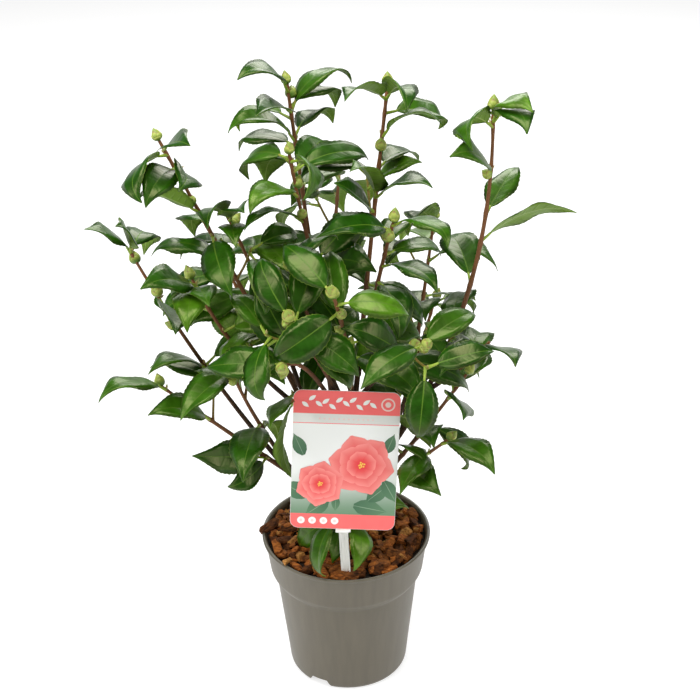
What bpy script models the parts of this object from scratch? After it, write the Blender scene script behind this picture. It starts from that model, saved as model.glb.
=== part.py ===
"""Potted camellia shrub: a young plant with several shoots, its nursery pot, bark mulch and plant label.

Metres, +Z up. The origin is the middle of the pot's flat underside and the label faces -Y.
Each bough is one tapering limb, and each mass of foliage is one solid: a stem with its twigs, leaves
and buds fused on. A leaf or twig grows only where it has room.
"""
import math
import random

import bmesh
import bpy
import numpy as np
from mathutils import Matrix, Vector
from mathutils.bvhtree import BVHTree

# ---- driving sizes ---------------------------------------------------------------------------------
MM = 0.001
GAP = 0.3 * MM                       # left between pieces that touch

POT_HEIGHT = 140 * MM
RIM_RADIUS = 75 * MM
COLLAR_HEIGHT = 38 * MM
COLLAR_STEP = 1.5 * MM               # how far under the collar's foot the body ends
COLLAR_FOOT_RADIUS = 68.6 * MM
BODY_TOP_RADIUS = 64.0 * MM
BASE_RADIUS = 53.0 * MM
POT_WALL = 1.8 * MM
POT_FLOOR = 2.4 * MM
CHANNEL_HEIGHT = 8.5 * MM            # of the drain channel under the floor, which the openings lead to
CHANNEL_RADII = (34 * MM, 45 * MM)
RIM_LIP = 2.2 * MM                   # how far the rolled rim stands out
LIP_HEIGHT = 3.2 * MM
LIP_BEVEL = 0.8 * MM
BASE_ROUND = 5.0 * MM
POT_SIDES = 36
NOTCHES = 3                          # drain openings round the base
NOTCH_TURN = math.radians(-120)      # where the first one is, seen from above
NOTCH_WIDTH = 21 * MM
NOTCH_DEPTH = 18 * MM                # across the wall

MULCH_EDGE = 134.5 * MM              # height of the bark at the pot's wall
MULCH_CROWN = 138 * MM               # and round the stem
CHIPS = 22
CHIP_LENGTH = 17 * MM
CHIP_WIDTH = (0.45, 0.65)            # shares of the length
CHIP_THICKNESS = (0.22, 0.34)
CHIP_TILT = 0.3                      # radians, at most
CHIP_SEED = 5

TRUNK = ((0.0, 0.0, 138.3), (1.0, -1.0, 163.0), (2.0, -2.0, 188.0))
TRUNK_FLARE = 9.5 * MM
TRUNK_RADIUS = 6.0 * MM
FLARE_HEIGHT = 0.30                  # share of the trunk that the flare takes up
ROOT_LOBES = 5
LOBE_SWELL = 0.12                    # how far the root lobes swell the flare
TRUNK_SIDES = 14
TRUNK_RINGS = 9

BOUGH_RADIUS = 3.0 * MM              # at the foot of a bough that leaves the trunk
BRANCH_RADIUS = 2.3 * MM             # at the foot of one that leaves another bough
TIP_RADIUS = 1.2 * MM
TWIG_RADIUS = 1.1 * MM
TWIG_LENGTH = (32 * MM, 55 * MM)
TWIG_TAPER = 0.8
BOUGH_SIDES = 6
STEM_SIDES = 4                       # of the stem inside a mass, where the leaves stand
TWIG_SIDES = 3

LEAF_LENGTH = (52 * MM, 69 * MM)     # blade, shortest and longest
LEAF_WIDTH = (0.43, 0.52)            # share of the length
LEAF_CURL = (0.6, 1.5)               # radians from a blade's foot to its tip
LEAF_THICKNESS = 1.0 * MM
STALK_LENGTH = (6 * MM, 10 * MM)
STALK_RADIUS = 1.1 * MM
HELD_STALK = 9 * MM
BUD_LENGTH = (11 * MM, 14.5 * MM)
BUD_WIDTH = (0.62, 0.74)
BUD_SINK = 2 * MM                    # how far back down the shoot its foot is set
BUD_RISE = 0.15                      # how much it turns up
BUD_OPENING = 0.35                   # how much further it leans out as it is turned on
BUD_TOP = 0.95                       # share of the foliage where the first bud below the tip stands
BUD_STEP = 0.19                      # and how much lower each next one is

CARD_WIDTH = 88.5 * MM
CARD_HEIGHT = 124.5 * MM
CARD_THICKNESS = 0.8 * MM
CARD_ROUND = 7 * MM
CARD_FOOT = (-3.2 * MM, -60.5 * MM, 184.5 * MM)
CARD_LEAN = math.radians(10.5)       # the label's top leans back
CARD_TURN = math.radians(3.2)        # and is turned to the right
READER = (6 * MM, -1150 * MM, 975 * MM)     # the eye that the label is kept open to
READING_SHARE = 0.12                 # how far towards it leaves keep clear
STAKE_WIDTH = 8 * MM
STAKE_THICKNESS = 1.4 * MM
STAKE_LINE = ((1.2, -56.0, 84.0), (-0.4, -62.0, 135.0), (-2.2, -58.5, 184.5), (-3.0, -53.6, 210.0))

# ---- the shoots ------------------------------------------------------------------------------------
# name: what it leaves and at which share of that, its bend and tip in mm, the share of it where the
# foliage starts, then how many leaves, twigs and bud places it has, and its seed
SHOOTS = {
    "left": ("trunk", 0.50, (-62, -14, 222), (-151, -30, 311), 0.47, 1, 1, 3, 31),
    "upper_left": ("trunk", 0.80, (-34, -12, 290), (-136, -30, 528), 0.50, 4, 1, 4, 1),
    "right": ("trunk", 0.66, (128, -5, 338), (120, 0, 536), 0.42, 0, 0, 3, 7),
    "back_left": ("trunk", 0.68, (-18, 44, 330), (-40, 50, 542), 0.50, 3, 0, 2, 10),
    "centre": ("trunk", 1.00, (14, -6, 330), (40, 30, 547), 0.50, 4, 1, 3, 24),
    "front": ("trunk", 0.58, (16, -16, 312), (-6, -90, 424), 0.52, 10, 1, 5, 1),
    "right_low": ("trunk", 0.42, (40, -24, 215), (103, -30, 318), 0.40, 3, 0, 1, 37),
    "card_left": ("front", 0.24, (-24, -16, 268), (-42, -30, 302), 0.42, 3, 0, 1, 31),
    "card_right": ("right_low", 0.22, (40, -26, 248), (46, -30, 302), 0.40, 3, 0, 1, 18),
    "far_left": ("left", 0.36, (-118, -8, 310), (-169, 0, 418), 0.30, 2, 1, 4, 4),
    "left_inner": ("left", 0.30, (-74, -38, 275), (-93, -50, 345), 0.35, 3, 1, 3, 21),
    "left_side": ("upper_left", 0.34, (-90, -40, 340), (-118, -34, 412), 0.40, 4, 0, 1, 10),
    "mid_left": ("upper_left", 0.27, (-60, 8, 370), (-89, 0, 448), 0.40, 5, 0, 2, 14),
    "front_left": ("front", 0.34, (-20, -34, 342), (-40, -90, 404), 0.42, 8, 1, 4, 34),
    "front_low": ("front", 0.28, (-30, -28, 346), (-46, -98, 364), 0.45, 7, 0, 2, 17),
    "front_right": ("front", 0.42, (42, -38, 342), (65, -80, 372), 0.40, 6, 1, 3, 24),
    "inner": ("centre", 0.28, (-24, -4, 400), (-38, -10, 507), 0.42, 3, 1, 4, 7),
    "inner_front": ("centre", 0.22, (-22, -40, 350), (-38, -50, 432), 0.45, 7, 0, 2, 25),
    "inner_right": ("centre", 0.36, (30, -12, 400), (43, -20, 452), 0.40, 3, 0, 3, 4),
    "right_side": ("right", 0.33, (100, -24, 318), (120, -30, 346), 0.35, 2, 0, 0, 32),
    "low_side": ("right_low", 0.26, (58, -38, 234), (88, -40, 260), 0.40, 1, 0, 1, 14),
    "back_right": ("right", 0.22, (66, 60, 300), (82, 102, 398), 0.42, 7, 1, 2, 9),
    "back_mid": ("back_left", 0.28, (-12, 80, 340), (2, 118, 452), 0.42, 8, 1, 2, 33),
    "back_low": ("back_left", 0.20, (-60, 66, 270), (-104, 84, 372), 0.42, 9, 1, 1, 28),
    "back_low_right": ("right", 0.16, (60, 70, 250), (84, 104, 318), 0.45, 8, 1, 1, 16),
    "base_front": ("trunk", 0.30, (8, -26, 178), (-8, -44, 184), 0.35, 2, 0, 0, 31),
}

# Leaves that stand out of the crown: share of the shoot, turn round it in degrees (0 left, 90 front,
# 180 right, 270 back), slope from it in degrees, blade length in mm, curl in radians, and how far the
# blade is rolled from facing the light, in degrees
HELD = {
    "left": ((0.97, 105, 20, 65, 1.1, 0), (0.77, 120, 25, 59, 0.9, -35),
             (0.49, 80, 70, 45, 1.3, -80), (0.49, 65, 30, 65, 0.1, -55)),
    "upper_left": ((0.98, 120, 65, 60, 0.3, 10), (0.97, 75, 60, 63, 1.2, 50),
                   (0.94, 120, 75, 60, 0.6, -75), (0.86, 60, 35, 61, 0.1, 30),
                   (0.75, 340, 30, 64, 1.3, 20), (0.81, 95, 90, 57, 0.9, 15)),
    "right": ((0.97, 105, 30, 59, 1.4, 15), (0.97, 120, 45, 59, 1.3, -25),
              (0.96, 40, 50, 64, 1.7, 60), (0.87, 65, 50, 60, 0.5, -35),
              (0.77, 245, 65, 61, 0.1, -5), (0.71, 200, 45, 75, 0.9, -60),
              (0.61, 285, 65, 69, 0.7, 0), (0.49, 280, 60, 67, 1.4, -35)),
    "back_left": ((0.98, 70, 30, 58, 1.3, -15), (0.94, 200, 30, 65, 1.7, -20),
                  (0.94, 75, 60, 60, 0.4, -20), (0.95, 225, 65, 65, 1.7, 0),
                  (0.89, 240, 60, 61, 1.4, -15), (0.88, 40, 30, 62, 1.5, 5),
                  (0.87, 325, 70, 60, 0.9, 10)),
    "centre": ((0.97, 55, 65, 61, 0.6, 25), (0.97, 105, 50, 61, 1.3, -20),
               (0.90, 135, 35, 59, 1.3, -15), (0.84, 240, 70, 61, 0.9, -10),
               (0.78, 125, 50, 61, 0.5, 5), (0.78, 75, 40, 61, 0.6, -25),
               (0.75, 55, 55, 59, 0.1, -35)),
    "right_low": ((0.87, 85, 50, 60, 0.6, -30), (0.93, 250, 75, 61, 0.1, -20),
                  (0.65, 60, 35, 58, 1.0, 15)),
    "card_left": ((0.97, 75, 50, 50, 0.3, 10), (0.92, 15, 120, 71, 0.8, 50)),
    "card_right": ((0.77, 220, 120, 46, 1.2, -60), (0.46, 145, 45, 45, 0.8, -45),
                   (1.00, 110, 45, 59, 1.2, -15)),
    "far_left": ((1.00, 105, 40, 58, 0.6, -50), (1.00, 250, 75, 66, 1.7, 20),
                 (1.00, 125, 50, 59, 0.3, -80), (0.81, 110, 95, 59, 0.1, -55),
                 (0.50, 85, 30, 62, 1.0, 0), (0.50, 130, 70, 59, 0.6, -20)),
    "left_inner": ((0.67, 100, 20, 66, 1.3, -35), (1.00, 90, 30, 60, 0.8, 5),
                   (0.46, 255, 120, 43, 1.5, 0)),
    "left_side": ((0.95, 85, 50, 60, 0.6, -35), (0.93, 95, 70, 55, 1.1, -5)),
    "mid_left": ((1.00, 85, 35, 60, 1.1, 20), (0.98, 120, 55, 59, 0.2, -5)),
    "inner": ((0.97, 330, 75, 63, 1.7, -10), (0.95, 295, 90, 62, 1.2, 15),
              (0.82, 60, 40, 60, 1.2, 5), (0.92, 200, 75, 65, 1.0, 5),
              (0.72, 40, 40, 59, 1.0, 20), (0.96, 135, 70, 63, 1.6, -60)),
    "inner_right": ((0.95, 140, 40, 63, 1.1, -25), (0.72, 220, 80, 60, 0.7, -15),
                    (0.64, 135, 50, 61, 0.9, -20)),
    "right_side": ((0.93, 90, 45, 60, 0.3, -15),),
    "low_side": ((0.90, 85, 35, 62, 1.1, 0), (0.43, 75, 45, 58, 0.7, 50),
                 (0.49, 25, 40, 62, 1.0, 50)),
    "base_front": ((0.59, 130, 50, 54, 1.7, -55), (0.96, 25, 30, 53, 1.3, 25),
                   (0.43, 60, 45, 43, 1.5, 0)),
}

# ---- the growing rule ------------------------------------------------------------------------------
UP = np.array((0.0, 0.0, 1.0))
LIGHT = np.array((0.0, -0.30, 0.95))       # what the upper face of a leaf turns to
GOLDEN = math.radians(137.5)               # turn from one leaf to the next up a shoot
TRIES = (0, 24, -24, 48, -48, 75, -75, 110, -110, 150, -150)
HELD_TRIES = (0, 6, -6, 12, -12, 18, -18)
LEAF_RINGS = ((0.0, 0.10), (0.30, 0.93), (0.66, 0.80))     # share of the blade, share of its width
BUD_RINGS = ((0.0, 0.35), (0.38, 1.0), (0.80, 0.60))
BUD_SIDES = 5


def unit(vector):
    """The vector at length 1."""
    return vector / np.linalg.norm(vector)


def place_on(path, share):
    """Point at a share of a quadratic Bezier path of foot, bend and tip."""
    foot, bend, tip = path
    return (1 - share) ** 2 * foot + 2 * share * (1 - share) * bend + share * share * tip


def heading(path, share):
    """Unit direction of the path there."""
    foot, bend, tip = path
    return unit((1 - share) * (bend - foot) + share * (tip - bend))


def square_to(way):
    """Two axes square to a way: for an upright one they point left and to the front."""
    left = unit(np.cross(way, (0.0, 1.0, 0.0)))
    return left, np.cross(way, left)


def ring(centre, way, radius, sides):
    """Points of a circle round a centre, square to a way."""
    left, front = square_to(way)
    return [centre + radius * (math.cos(turn) * left + math.sin(turn) * front)
            for turn in (2 * math.pi * side / sides for side in range(sides))]


def loft(points, sides, closed_by_point):
    """Faces of a stack of rings with a flat foot, ended by a last ring or by one point.

    The diagonals alternate from side to side, so a folded blade's two faces are split alike.
    """
    rings = len(points) // sides
    faces = [tuple(reversed(range(sides)))]
    for low in range(0, (rings - 1) * sides, sides):
        for side in range(sides):
            a, b = low + side, low + (side + 1) % sides
            c, d = b + sides, a + sides
            faces += [(a, b, c), (a, c, d)] if side % 2 == 0 else [(a, b, d), (b, c, d)]
    top = (rings - 1) * sides
    if closed_by_point:
        faces += [(top + side, top + (side + 1) % sides, len(points) - 1) for side in range(sides)]
    else:
        faces.append(tuple(top + side for side in range(sides)))
    return np.array(points), faces


def limb(path, start, end, radius_start, radius_end, sides, rings):
    """A tapering limb along a stretch of a path."""
    points = []
    for step in range(rings + 1):
        share = step / rings
        along = start + (end - start) * share
        radius = radius_start + (radius_end - radius_start) * share
        points += ring(place_on(path, along), heading(path, along), radius, sides)
    return loft(points, sides, closed_by_point=False)


def twig_solid(twig, start=0.0, extra=0.0):
    """A side twig, from a share of its path to its tip."""
    return limb(twig, start, 1.0, TWIG_RADIUS + extra, TWIG_TAPER * TWIG_RADIUS + extra, TWIG_SIDES, 3)


def on_blade(leaf, share):
    """Point, upward normal and direction of a blade that curls evenly along its length."""
    foot = leaf["root"] + leaf["way"] * leaf["stalk"]
    turn = leaf["curl"] * share
    bow = leaf["length"] / leaf["curl"]
    point = foot + bow * (math.sin(turn) * leaf["way"] - (1 - math.cos(turn)) * leaf["face"])
    normal = math.cos(turn) * leaf["face"] + math.sin(turn) * leaf["way"]
    way = math.cos(turn) * leaf["way"] - math.sin(turn) * leaf["face"]
    return point, normal, way


def leaf_solid(leaf, from_stalk=0.0, extra=0.0):
    """A leaf as a loft of four-cornered rings: stalk, blade with a low fold, and a pointed tip."""
    side = leaf["side"]
    stalk = STALK_RADIUS + extra
    foot = leaf["root"] + leaf["way"] * from_stalk
    points = [foot + off * stalk for off in (-side, leaf["face"], side, -leaf["face"])]
    for share, width in LEAF_RINGS:
        centre, normal, _ = on_blade(leaf, share)
        half = max(width * leaf["width"] / 2, STALK_RADIUS) + extra
        lift = math.sin(leaf["fold"]) * half if share > 0 else 0.0
        thick = (LEAF_THICKNESS / 2 if share > 0 else STALK_RADIUS * 0.9) + extra
        points += [centre - side * half + normal * lift, centre + normal * thick,
                   centre + side * half + normal * lift, centre - normal * thick]
    tip, _, way = on_blade(leaf, 1.0)
    points.append(tip + way * extra)
    return loft(points, 4, closed_by_point=True)


def bud_solid(bud, extra=0.0):
    """A plump pointed bud of a few sides."""
    points = []
    for share, width in BUD_RINGS:
        centre = bud["root"] + bud["way"] * bud["length"] * share
        points += ring(centre, bud["way"], width * bud["width"] / 2 + extra, BUD_SIDES)
    points.append(bud["root"] + bud["way"] * (bud["length"] + extra))
    return loft(points, BUD_SIDES, closed_by_point=True)


class Room:
    """The space that is taken, as surfaces that a new leaf, twig or bud may not cross."""

    def __init__(self, taken=()):
        self.taken = list(taken)

    def take(self, solid, owner):
        points, faces = solid
        tree = BVHTree.FromPolygons(points.tolist(), faces)
        self.taken.append((points.min(0), points.max(0), tree, owner))

    def free(self, solid, but=()):
        """True where the solid crosses nothing, apart from what the named owners hold."""
        points, faces = solid
        low, high = points.min(0), points.max(0)
        tree = None
        for other_low, other_high, other_tree, owner in self.taken:
            if owner in but or (low > other_high).any() or (high < other_low).any():
                continue
            if tree is None:
                tree = BVHTree.FromPolygons(points.tolist(), faces)
            if tree.overlap(other_tree):
                return False
        return True


def leaf_fits(room, leaf, name):
    """The whole leaf clears other masses, and its blade clears its own mass too."""
    if not room.free(leaf_solid(leaf, extra=GAP), (name, name + "_leaf", name + "_bud")):
        return False
    return room.free(leaf_solid(leaf, from_stalk=leaf["stalk"] * 0.9, extra=GAP))


def leaf_at(path, share, turn, slope, sag, roll, measures):
    """A leaf of a shoot: turned round it, sloping from it, with its upper face to the light."""
    way = heading(path, share)
    left, front = square_to(way)
    out = math.cos(turn) * left + math.sin(turn) * front
    along = unit(math.cos(slope) * way + math.sin(slope) * out - sag * UP)
    wanted = 0.65 * LIGHT + 0.35 * way
    face = wanted - wanted.dot(along) * along
    if np.linalg.norm(face) < 0.05:
        return None
    face = unit(face)
    face = math.cos(roll) * face + math.sin(roll) * np.cross(along, face)
    return dict(measures, root=place_on(path, share), way=along, face=face, side=np.cross(along, face))


def grow_leaf(draw, room, path, share, turn, radius, young, name, size, droop):
    """A leaf of the seeded rule, turned on until it has room, or None."""
    length = draw.uniform(*LEAF_LENGTH) * size * (1 - 0.2 * young)
    measures = dict(length=length, width=length * draw.uniform(*LEAF_WIDTH))
    slope = math.radians(draw.uniform(52, 74) - 24 * young)
    measures["curl"] = draw.uniform(*LEAF_CURL)
    measures["fold"] = math.radians(draw.uniform(8, 24))
    sag = draw.uniform(0.0, 0.35) + droop
    roll = draw.gauss(0, 0.30)
    measures["stalk"] = draw.uniform(*STALK_LENGTH) + radius
    for more in TRIES:
        leaf = leaf_at(path, share, turn + math.radians(more), slope, sag, roll, measures)
        if leaf is not None and leaf_fits(room, leaf, name):
            return leaf
    return None


def hold_leaf(draw, room, path, row, name):
    """A leaf whose direction is given, turned a little if it must be, or None."""
    share, turn, slope, length, curl, roll = row
    measures = dict(length=length * MM, width=length * MM * draw.uniform(*LEAF_WIDTH), curl=curl)
    measures["fold"] = math.radians(draw.uniform(8, 24))
    measures["stalk"] = HELD_STALK
    for more in HELD_TRIES:
        leaf = leaf_at(path, share, math.radians(turn + more), math.radians(slope), 0.0,
                       math.radians(roll), measures)
        if leaf is not None and leaf_fits(room, leaf, name):
            return leaf
    return None


def grow_bud(draw, room, path, share, turn, slope, size, name):
    """A bud at a share of a shoot, turned on and leant further out until it has room, or None."""
    way = heading(path, share)
    left, front = square_to(way)
    length = draw.uniform(*BUD_LENGTH) * size
    width = length * draw.uniform(*BUD_WIDTH)
    root = place_on(path, share) - way * BUD_SINK
    for more in TRIES:
        out = math.cos(turn + math.radians(more)) * left + math.sin(turn + math.radians(more)) * front
        lean = slope + BUD_OPENING * math.radians(abs(more))
        along = unit(math.cos(lean) * way + math.sin(lean) * out + BUD_RISE * UP)
        bud = dict(root=root, way=along, length=length, width=width)
        if room.free(bud_solid(bud, GAP), (name, name + "_bud")):
            return bud
    return None


def grow_twig(draw, room, path, share, turn, name):
    """The path of a side twig, or None."""
    way = heading(path, share)
    left, front = square_to(way)
    foot = place_on(path, share)
    length = draw.uniform(*TWIG_LENGTH)
    slope = math.radians(draw.uniform(38, 52))
    for more in TRIES:
        out = math.cos(turn + math.radians(more)) * left + math.sin(turn + math.radians(more)) * front
        along = unit(math.cos(slope) * way + math.sin(slope) * out)
        twig = (foot, foot + along * length / 2, foot + length * unit(along + 0.25 * UP))
        if room.free(twig_solid(twig, 0.0, GAP), (name,)):
            return twig
    return None


def grow_mass(room, name, path, radii, row, held):
    """Leaves, twigs and buds of one shoot, from the share where its foliage starts up to its tip."""
    _, _, _, _, start, leaves, twigs, buds, seed = row
    draw = random.Random(seed)
    low = name.startswith("base")
    droop, size = (0.5, 0.8) if low else (0.0, 1.0)
    mass = dict(leaves=[], twigs=[], buds=[])

    def keep(kind, thing, solid):
        if thing is not None:
            mass[kind].append(thing)
            room.take(solid(thing), name + {"leaves": "_leaf", "buds": "_bud"}[kind])

    for held_row in held:
        keep("leaves", hold_leaf(draw, room, path, held_row, name), leaf_solid)
    turn = draw.uniform(0, 2 * math.pi)
    for place in range(buds):
        share = 1.0 if place == 0 else start + (1 - start) * (BUD_TOP - BUD_STEP * (place - 1))
        slope = math.radians(8 if place == 0 else draw.uniform(32, 50))
        keep("buds", grow_bud(draw, room, path, share, turn - place * GOLDEN, slope,
                              draw.uniform(0.85, 1.0), name), bud_solid)
    twig_places = {1 + round((leaves - 3) * (place + 0.5) / twigs) for place in range(twigs)}
    for place in range(leaves):
        up = (place + 0.5) / leaves
        share = start + (1 - start) * min(0.97, 0.04 + 0.96 * up ** 0.92)
        turn += GOLDEN + draw.gauss(0, 0.22)
        young = max(0.0, up - 0.75) * 3
        radius = radii[0] + (radii[1] - radii[0]) * up
        if place not in twig_places:
            keep("leaves", grow_leaf(draw, room, path, share, turn, radius, young, name, size, droop),
                 leaf_solid)
            continue
        twig = grow_twig(draw, room, path, share, turn, name)
        if twig is None:
            continue
        room.take(twig_solid(twig, 0.1), name)
        mass["twigs"].append(twig)
        twig_turn = draw.uniform(0, 2 * math.pi)
        count = draw.choice((2, 3, 3, 4))
        for order, twig_share in enumerate((0.45, 0.70, 0.86, 0.95)[4 - count:]):
            twig_turn += GOLDEN
            keep("leaves", grow_leaf(draw, room, twig, twig_share, twig_turn, TWIG_RADIUS,
                                     0.4 + 0.15 * order, name, size * 0.92, droop), leaf_solid)
        keep("buds", grow_bud(draw, room, twig, 1.0, twig_turn, math.radians(12), 0.95, name), bud_solid)
    return mass


def shoot_paths():
    """Every shoot's path in metres, each leaving its parent where the table says."""
    paths = {"trunk": tuple(np.array(point) * MM for point in TRUNK)}
    for name, row in SHOOTS.items():
        parent, share, bend, tip = row[:4]
        paths[name] = (place_on(paths[parent], share), np.array(bend) * MM, np.array(tip) * MM)
    return paths


def shoot_radius(name, share):
    """Radius of a shoot, falling evenly from its foot to its tip."""
    foot = BOUGH_RADIUS if SHOOTS[name][0] == "trunk" else BRANCH_RADIUS
    return foot + (TIP_RADIUS - foot) * share


def card_axes():
    """The label's own ways: to its right, up its face and out from it."""
    rise = np.array((0.0, math.sin(CARD_LEAN), math.cos(CARD_LEAN)))
    right = np.array((1.0, 0.0, 0.0))
    return np.array((math.cos(CARD_TURN) * right - math.sin(CARD_TURN) * rise,
                     math.cos(CARD_TURN) * rise + math.sin(CARD_TURN) * right, np.cross(right, rise)))


def on_card(right, up, out):
    """Point so far right of the label's middle line, up from its lower edge and out from its face."""
    return np.array(CARD_FOOT) + np.array((right, up, out)) @ card_axes()


def card_room():
    """A flat box round the label."""
    points = [on_card(side * (CARD_WIDTH / 2 + 1 * MM), up, out)
              for up in (-2 * MM, CARD_HEIGHT + 1 * MM) for side in (-1, 1) for out in (1.5 * MM, -2 * MM)]
    faces = [(0, 1, 3, 2), (4, 6, 7, 5), (0, 4, 5, 1), (2, 3, 7, 6), (0, 2, 6, 4), (1, 5, 7, 3)]
    return np.array(points), faces


def stake_solid(extra=0.0):
    """The label's stake: down through the mulch, and leaning back behind the card."""
    half, thick = STAKE_WIDTH / 2 + extra, STAKE_THICKNESS / 2 + extra
    points = []
    for middle in STAKE_LINE:
        points += [np.array(middle) * MM + np.array((x, y, 0.0))
                   for x, y in ((-half, -thick), (half, -thick), (half, thick), (-half, thick))]
    return loft(points, 4, closed_by_point=False)


def reading_room():
    """The space between the label and a reader's eye, which no leaf hangs into."""
    near = [on_card(side * (CARD_WIDTH / 2 - 2 * MM), up, 2 * MM)
            for side, up in ((-1, 3 * MM), (1, 3 * MM), (1, CARD_HEIGHT - 1 * MM), (-1, CARD_HEIGHT - 1 * MM))]
    far = [corner + READING_SHARE * (np.array(READER) - corner) for corner in near]
    return loft(near + far, 4, closed_by_point=False)


def take_made_things(room, paths):
    """Take the room of the pot, the label, the space that the label is read through, and all limbs."""
    room.take(limb(paths["trunk"], 0.0, 1.0, 8 * MM, TRUNK_RADIUS, 8, 2), "trunk")
    for name, row in SHOOTS.items():
        start = row[4]
        room.take(limb(paths[name], 0.0, start - 0.004, shoot_radius(name, 0), shoot_radius(name, start),
                       6, 8), name + "_bough")
        room.take(limb(paths[name], start, 1.0, shoot_radius(name, start), TIP_RADIUS, 5, 6), name)
    axis = tuple(np.array((0.0, 0.0, height)) for height in (0.05, 0.1, POT_HEIGHT - 2 * MM))
    room.take(limb(axis, 0.0, 1.0, RIM_RADIUS, RIM_RADIUS, 24, 1), "pot")
    room.take(card_room(), "card")
    room.take(reading_room(), "reader")
    room.take(stake_solid(1 * MM), "stake")


# ---- building --------------------------------------------------------------------------------------
for leftover in list(bpy.data.objects):
    bpy.data.objects.remove(leftover, do_unlink=True)


def new_collection(name):
    """A collection in the scene."""
    made = bpy.data.collections.new(name)
    bpy.context.scene.collection.children.link(made)
    return made


SHRUB = new_collection("camellia_shrub")
TOOLS = new_collection("cutters")
DEPSGRAPH = bpy.context.evaluated_depsgraph_get


def new_material(name, colour, roughness):
    """A Principled material of one plain colour."""
    made = bpy.data.materials.new(name)
    made.use_nodes = True
    shader = made.node_tree.nodes["Principled BSDF"]
    shader.inputs["Base Color"].default_value = (*colour, 1.0)
    shader.inputs["Roughness"].default_value = roughness
    return made


POT_PLASTIC = new_material("pot_plastic", (0.18, 0.165, 0.13), 0.45)
BARK_MULCH = new_material("bark_mulch", (0.14, 0.06, 0.03), 0.9)
STEM_BARK = new_material("stem_bark", (0.10, 0.045, 0.02), 0.7)
LEAF_GREEN = new_material("leaf_green", (0.03, 0.12, 0.02), 0.3)
CARD_PLASTIC = new_material("card_plastic", (0.95, 0.25, 0.23), 0.35)
STAKE_PLASTIC = new_material("stake_plastic", (0.85, 0.85, 0.83), 0.4)


def new_object(name, solid, collection, material=None):
    """An object from points and faces."""
    points, faces = solid
    mesh = bpy.data.meshes.new(name)
    mesh.from_pydata([tuple(point) for point in points], [], faces)
    made = bpy.data.objects.new(name, mesh)
    collection.objects.link(made)
    if material is not None:
        mesh.materials.append(material)
    if collection is TOOLS:
        made.hide_render = True
        made.display_type = 'WIRE'
    return made


def apply_modifiers(made):
    """Put the evaluated mesh in the place of the object's own, and take its modifiers off."""
    bpy.context.view_layer.update()
    mesh = bpy.data.meshes.new_from_object(made.evaluated_get(DEPSGRAPH()))
    made.modifiers.clear()
    made.data = mesh


def cut_away(made, cutters):
    """Cut the cutters out of an object, and remove them."""
    for cutter in cutters:
        modifier = made.modifiers.new("cut", 'BOOLEAN')
        modifier.operation = 'DIFFERENCE'
        modifier.object = cutter
    apply_modifiers(made)
    for cutter in cutters:
        bpy.data.objects.remove(cutter, do_unlink=True)


def keep_main_shell(made):
    """Drop loose scraps and the walls of sealed hollows: only the largest closed shell stays."""
    mesh = bmesh.new()
    mesh.from_mesh(made.data)
    bmesh.ops.remove_doubles(mesh, verts=mesh.verts, dist=0.002 * MM)
    left = set(mesh.faces)
    shells = []
    while left:
        first = left.pop()
        shell, front = {first}, [first]
        while front:
            for edge in front.pop().edges:
                beside = set(edge.link_faces) & left if edge.is_manifold else set()
                left -= beside
                shell |= beside
                front += beside
        shells.append(shell)
    largest = max(shells, key=len)
    bmesh.ops.delete(mesh, geom=[face for face in mesh.faces if face not in largest], context='FACES')
    mesh.to_mesh(made.data)
    mesh.free()


def is_closed(made):
    """True where every edge has two faces and the volume is positive."""
    mesh = bmesh.new()
    mesh.from_mesh(made.data)
    closed = all(edge.is_manifold for edge in mesh.edges) and mesh.calc_volume(signed=True) > 0
    mesh.free()
    return closed


def fuse(name, body, pieces, material):
    """One solid from a body and the pieces fused on it."""
    for solver in ('EXACT', 'MANIFOLD'):
        made = new_object(name, body, SHRUB, material)
        group = bpy.data.collections.new(name + "_pieces")
        TOOLS.children.link(group)
        for number, piece in enumerate(pieces):
            new_object(f"{name}_piece_{number}", piece, group)
        modifier = made.modifiers.new("fuse", 'BOOLEAN')
        modifier.operation = 'UNION'
        modifier.operand_type = 'COLLECTION'
        modifier.collection = group
        modifier.solver = solver
        apply_modifiers(made)
        for piece in list(group.objects):
            bpy.data.objects.remove(piece, do_unlink=True)
        bpy.data.collections.remove(group)
        keep_main_shell(made)
        made.data.materials.clear()
        made.data.materials.append(material)
        if is_closed(made):
            return made
        print(name, "isn't closed after", solver)
        if solver == 'EXACT':
            bpy.data.objects.remove(made, do_unlink=True)
    return made


def turned(name, profile, material):
    """A turned solid: a profile of radius and height, from the axis up the inside and down the outside."""
    mesh = bpy.data.meshes.new(name)
    edges = [(number, number + 1) for number in range(len(profile) - 1)]
    mesh.from_pydata([(radius, 0.0, height) for radius, height in profile], edges, [])
    mesh.materials.append(material)
    made = bpy.data.objects.new(name, mesh)
    SHRUB.objects.link(made)
    screw = made.modifiers.new("turn", 'SCREW')
    screw.steps = screw.render_steps = POT_SIDES
    screw.use_merge_vertices = True
    screw.merge_threshold = 0.0001
    apply_modifiers(made)
    return made


def block(centre, size, turn, collection=TOOLS, name="block"):
    """A box of three sizes with its centre and turn."""
    mesh = bpy.data.meshes.new(name)
    cube = bmesh.new()
    bmesh.ops.create_cube(cube, size=1.0)
    bmesh.ops.transform(cube, matrix=Matrix.Translation(centre) @ turn @ Matrix.Diagonal((*size, 1.0)),
                        verts=cube.verts)
    cube.to_mesh(mesh)
    cube.free()
    made = bpy.data.objects.new(name, mesh)
    collection.objects.link(made)
    made.hide_render = True
    made.display_type = 'WIRE'
    return made


# ---- pot and mulch
COLLAR_FOOT = POT_HEIGHT - COLLAR_HEIGHT
COLLAR_TOP_RADIUS = RIM_RADIUS - RIM_LIP
STEP_HEIGHT = COLLAR_FOOT - COLLAR_STEP
FLOOR_TOP = CHANNEL_HEIGHT + POT_FLOOR


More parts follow.
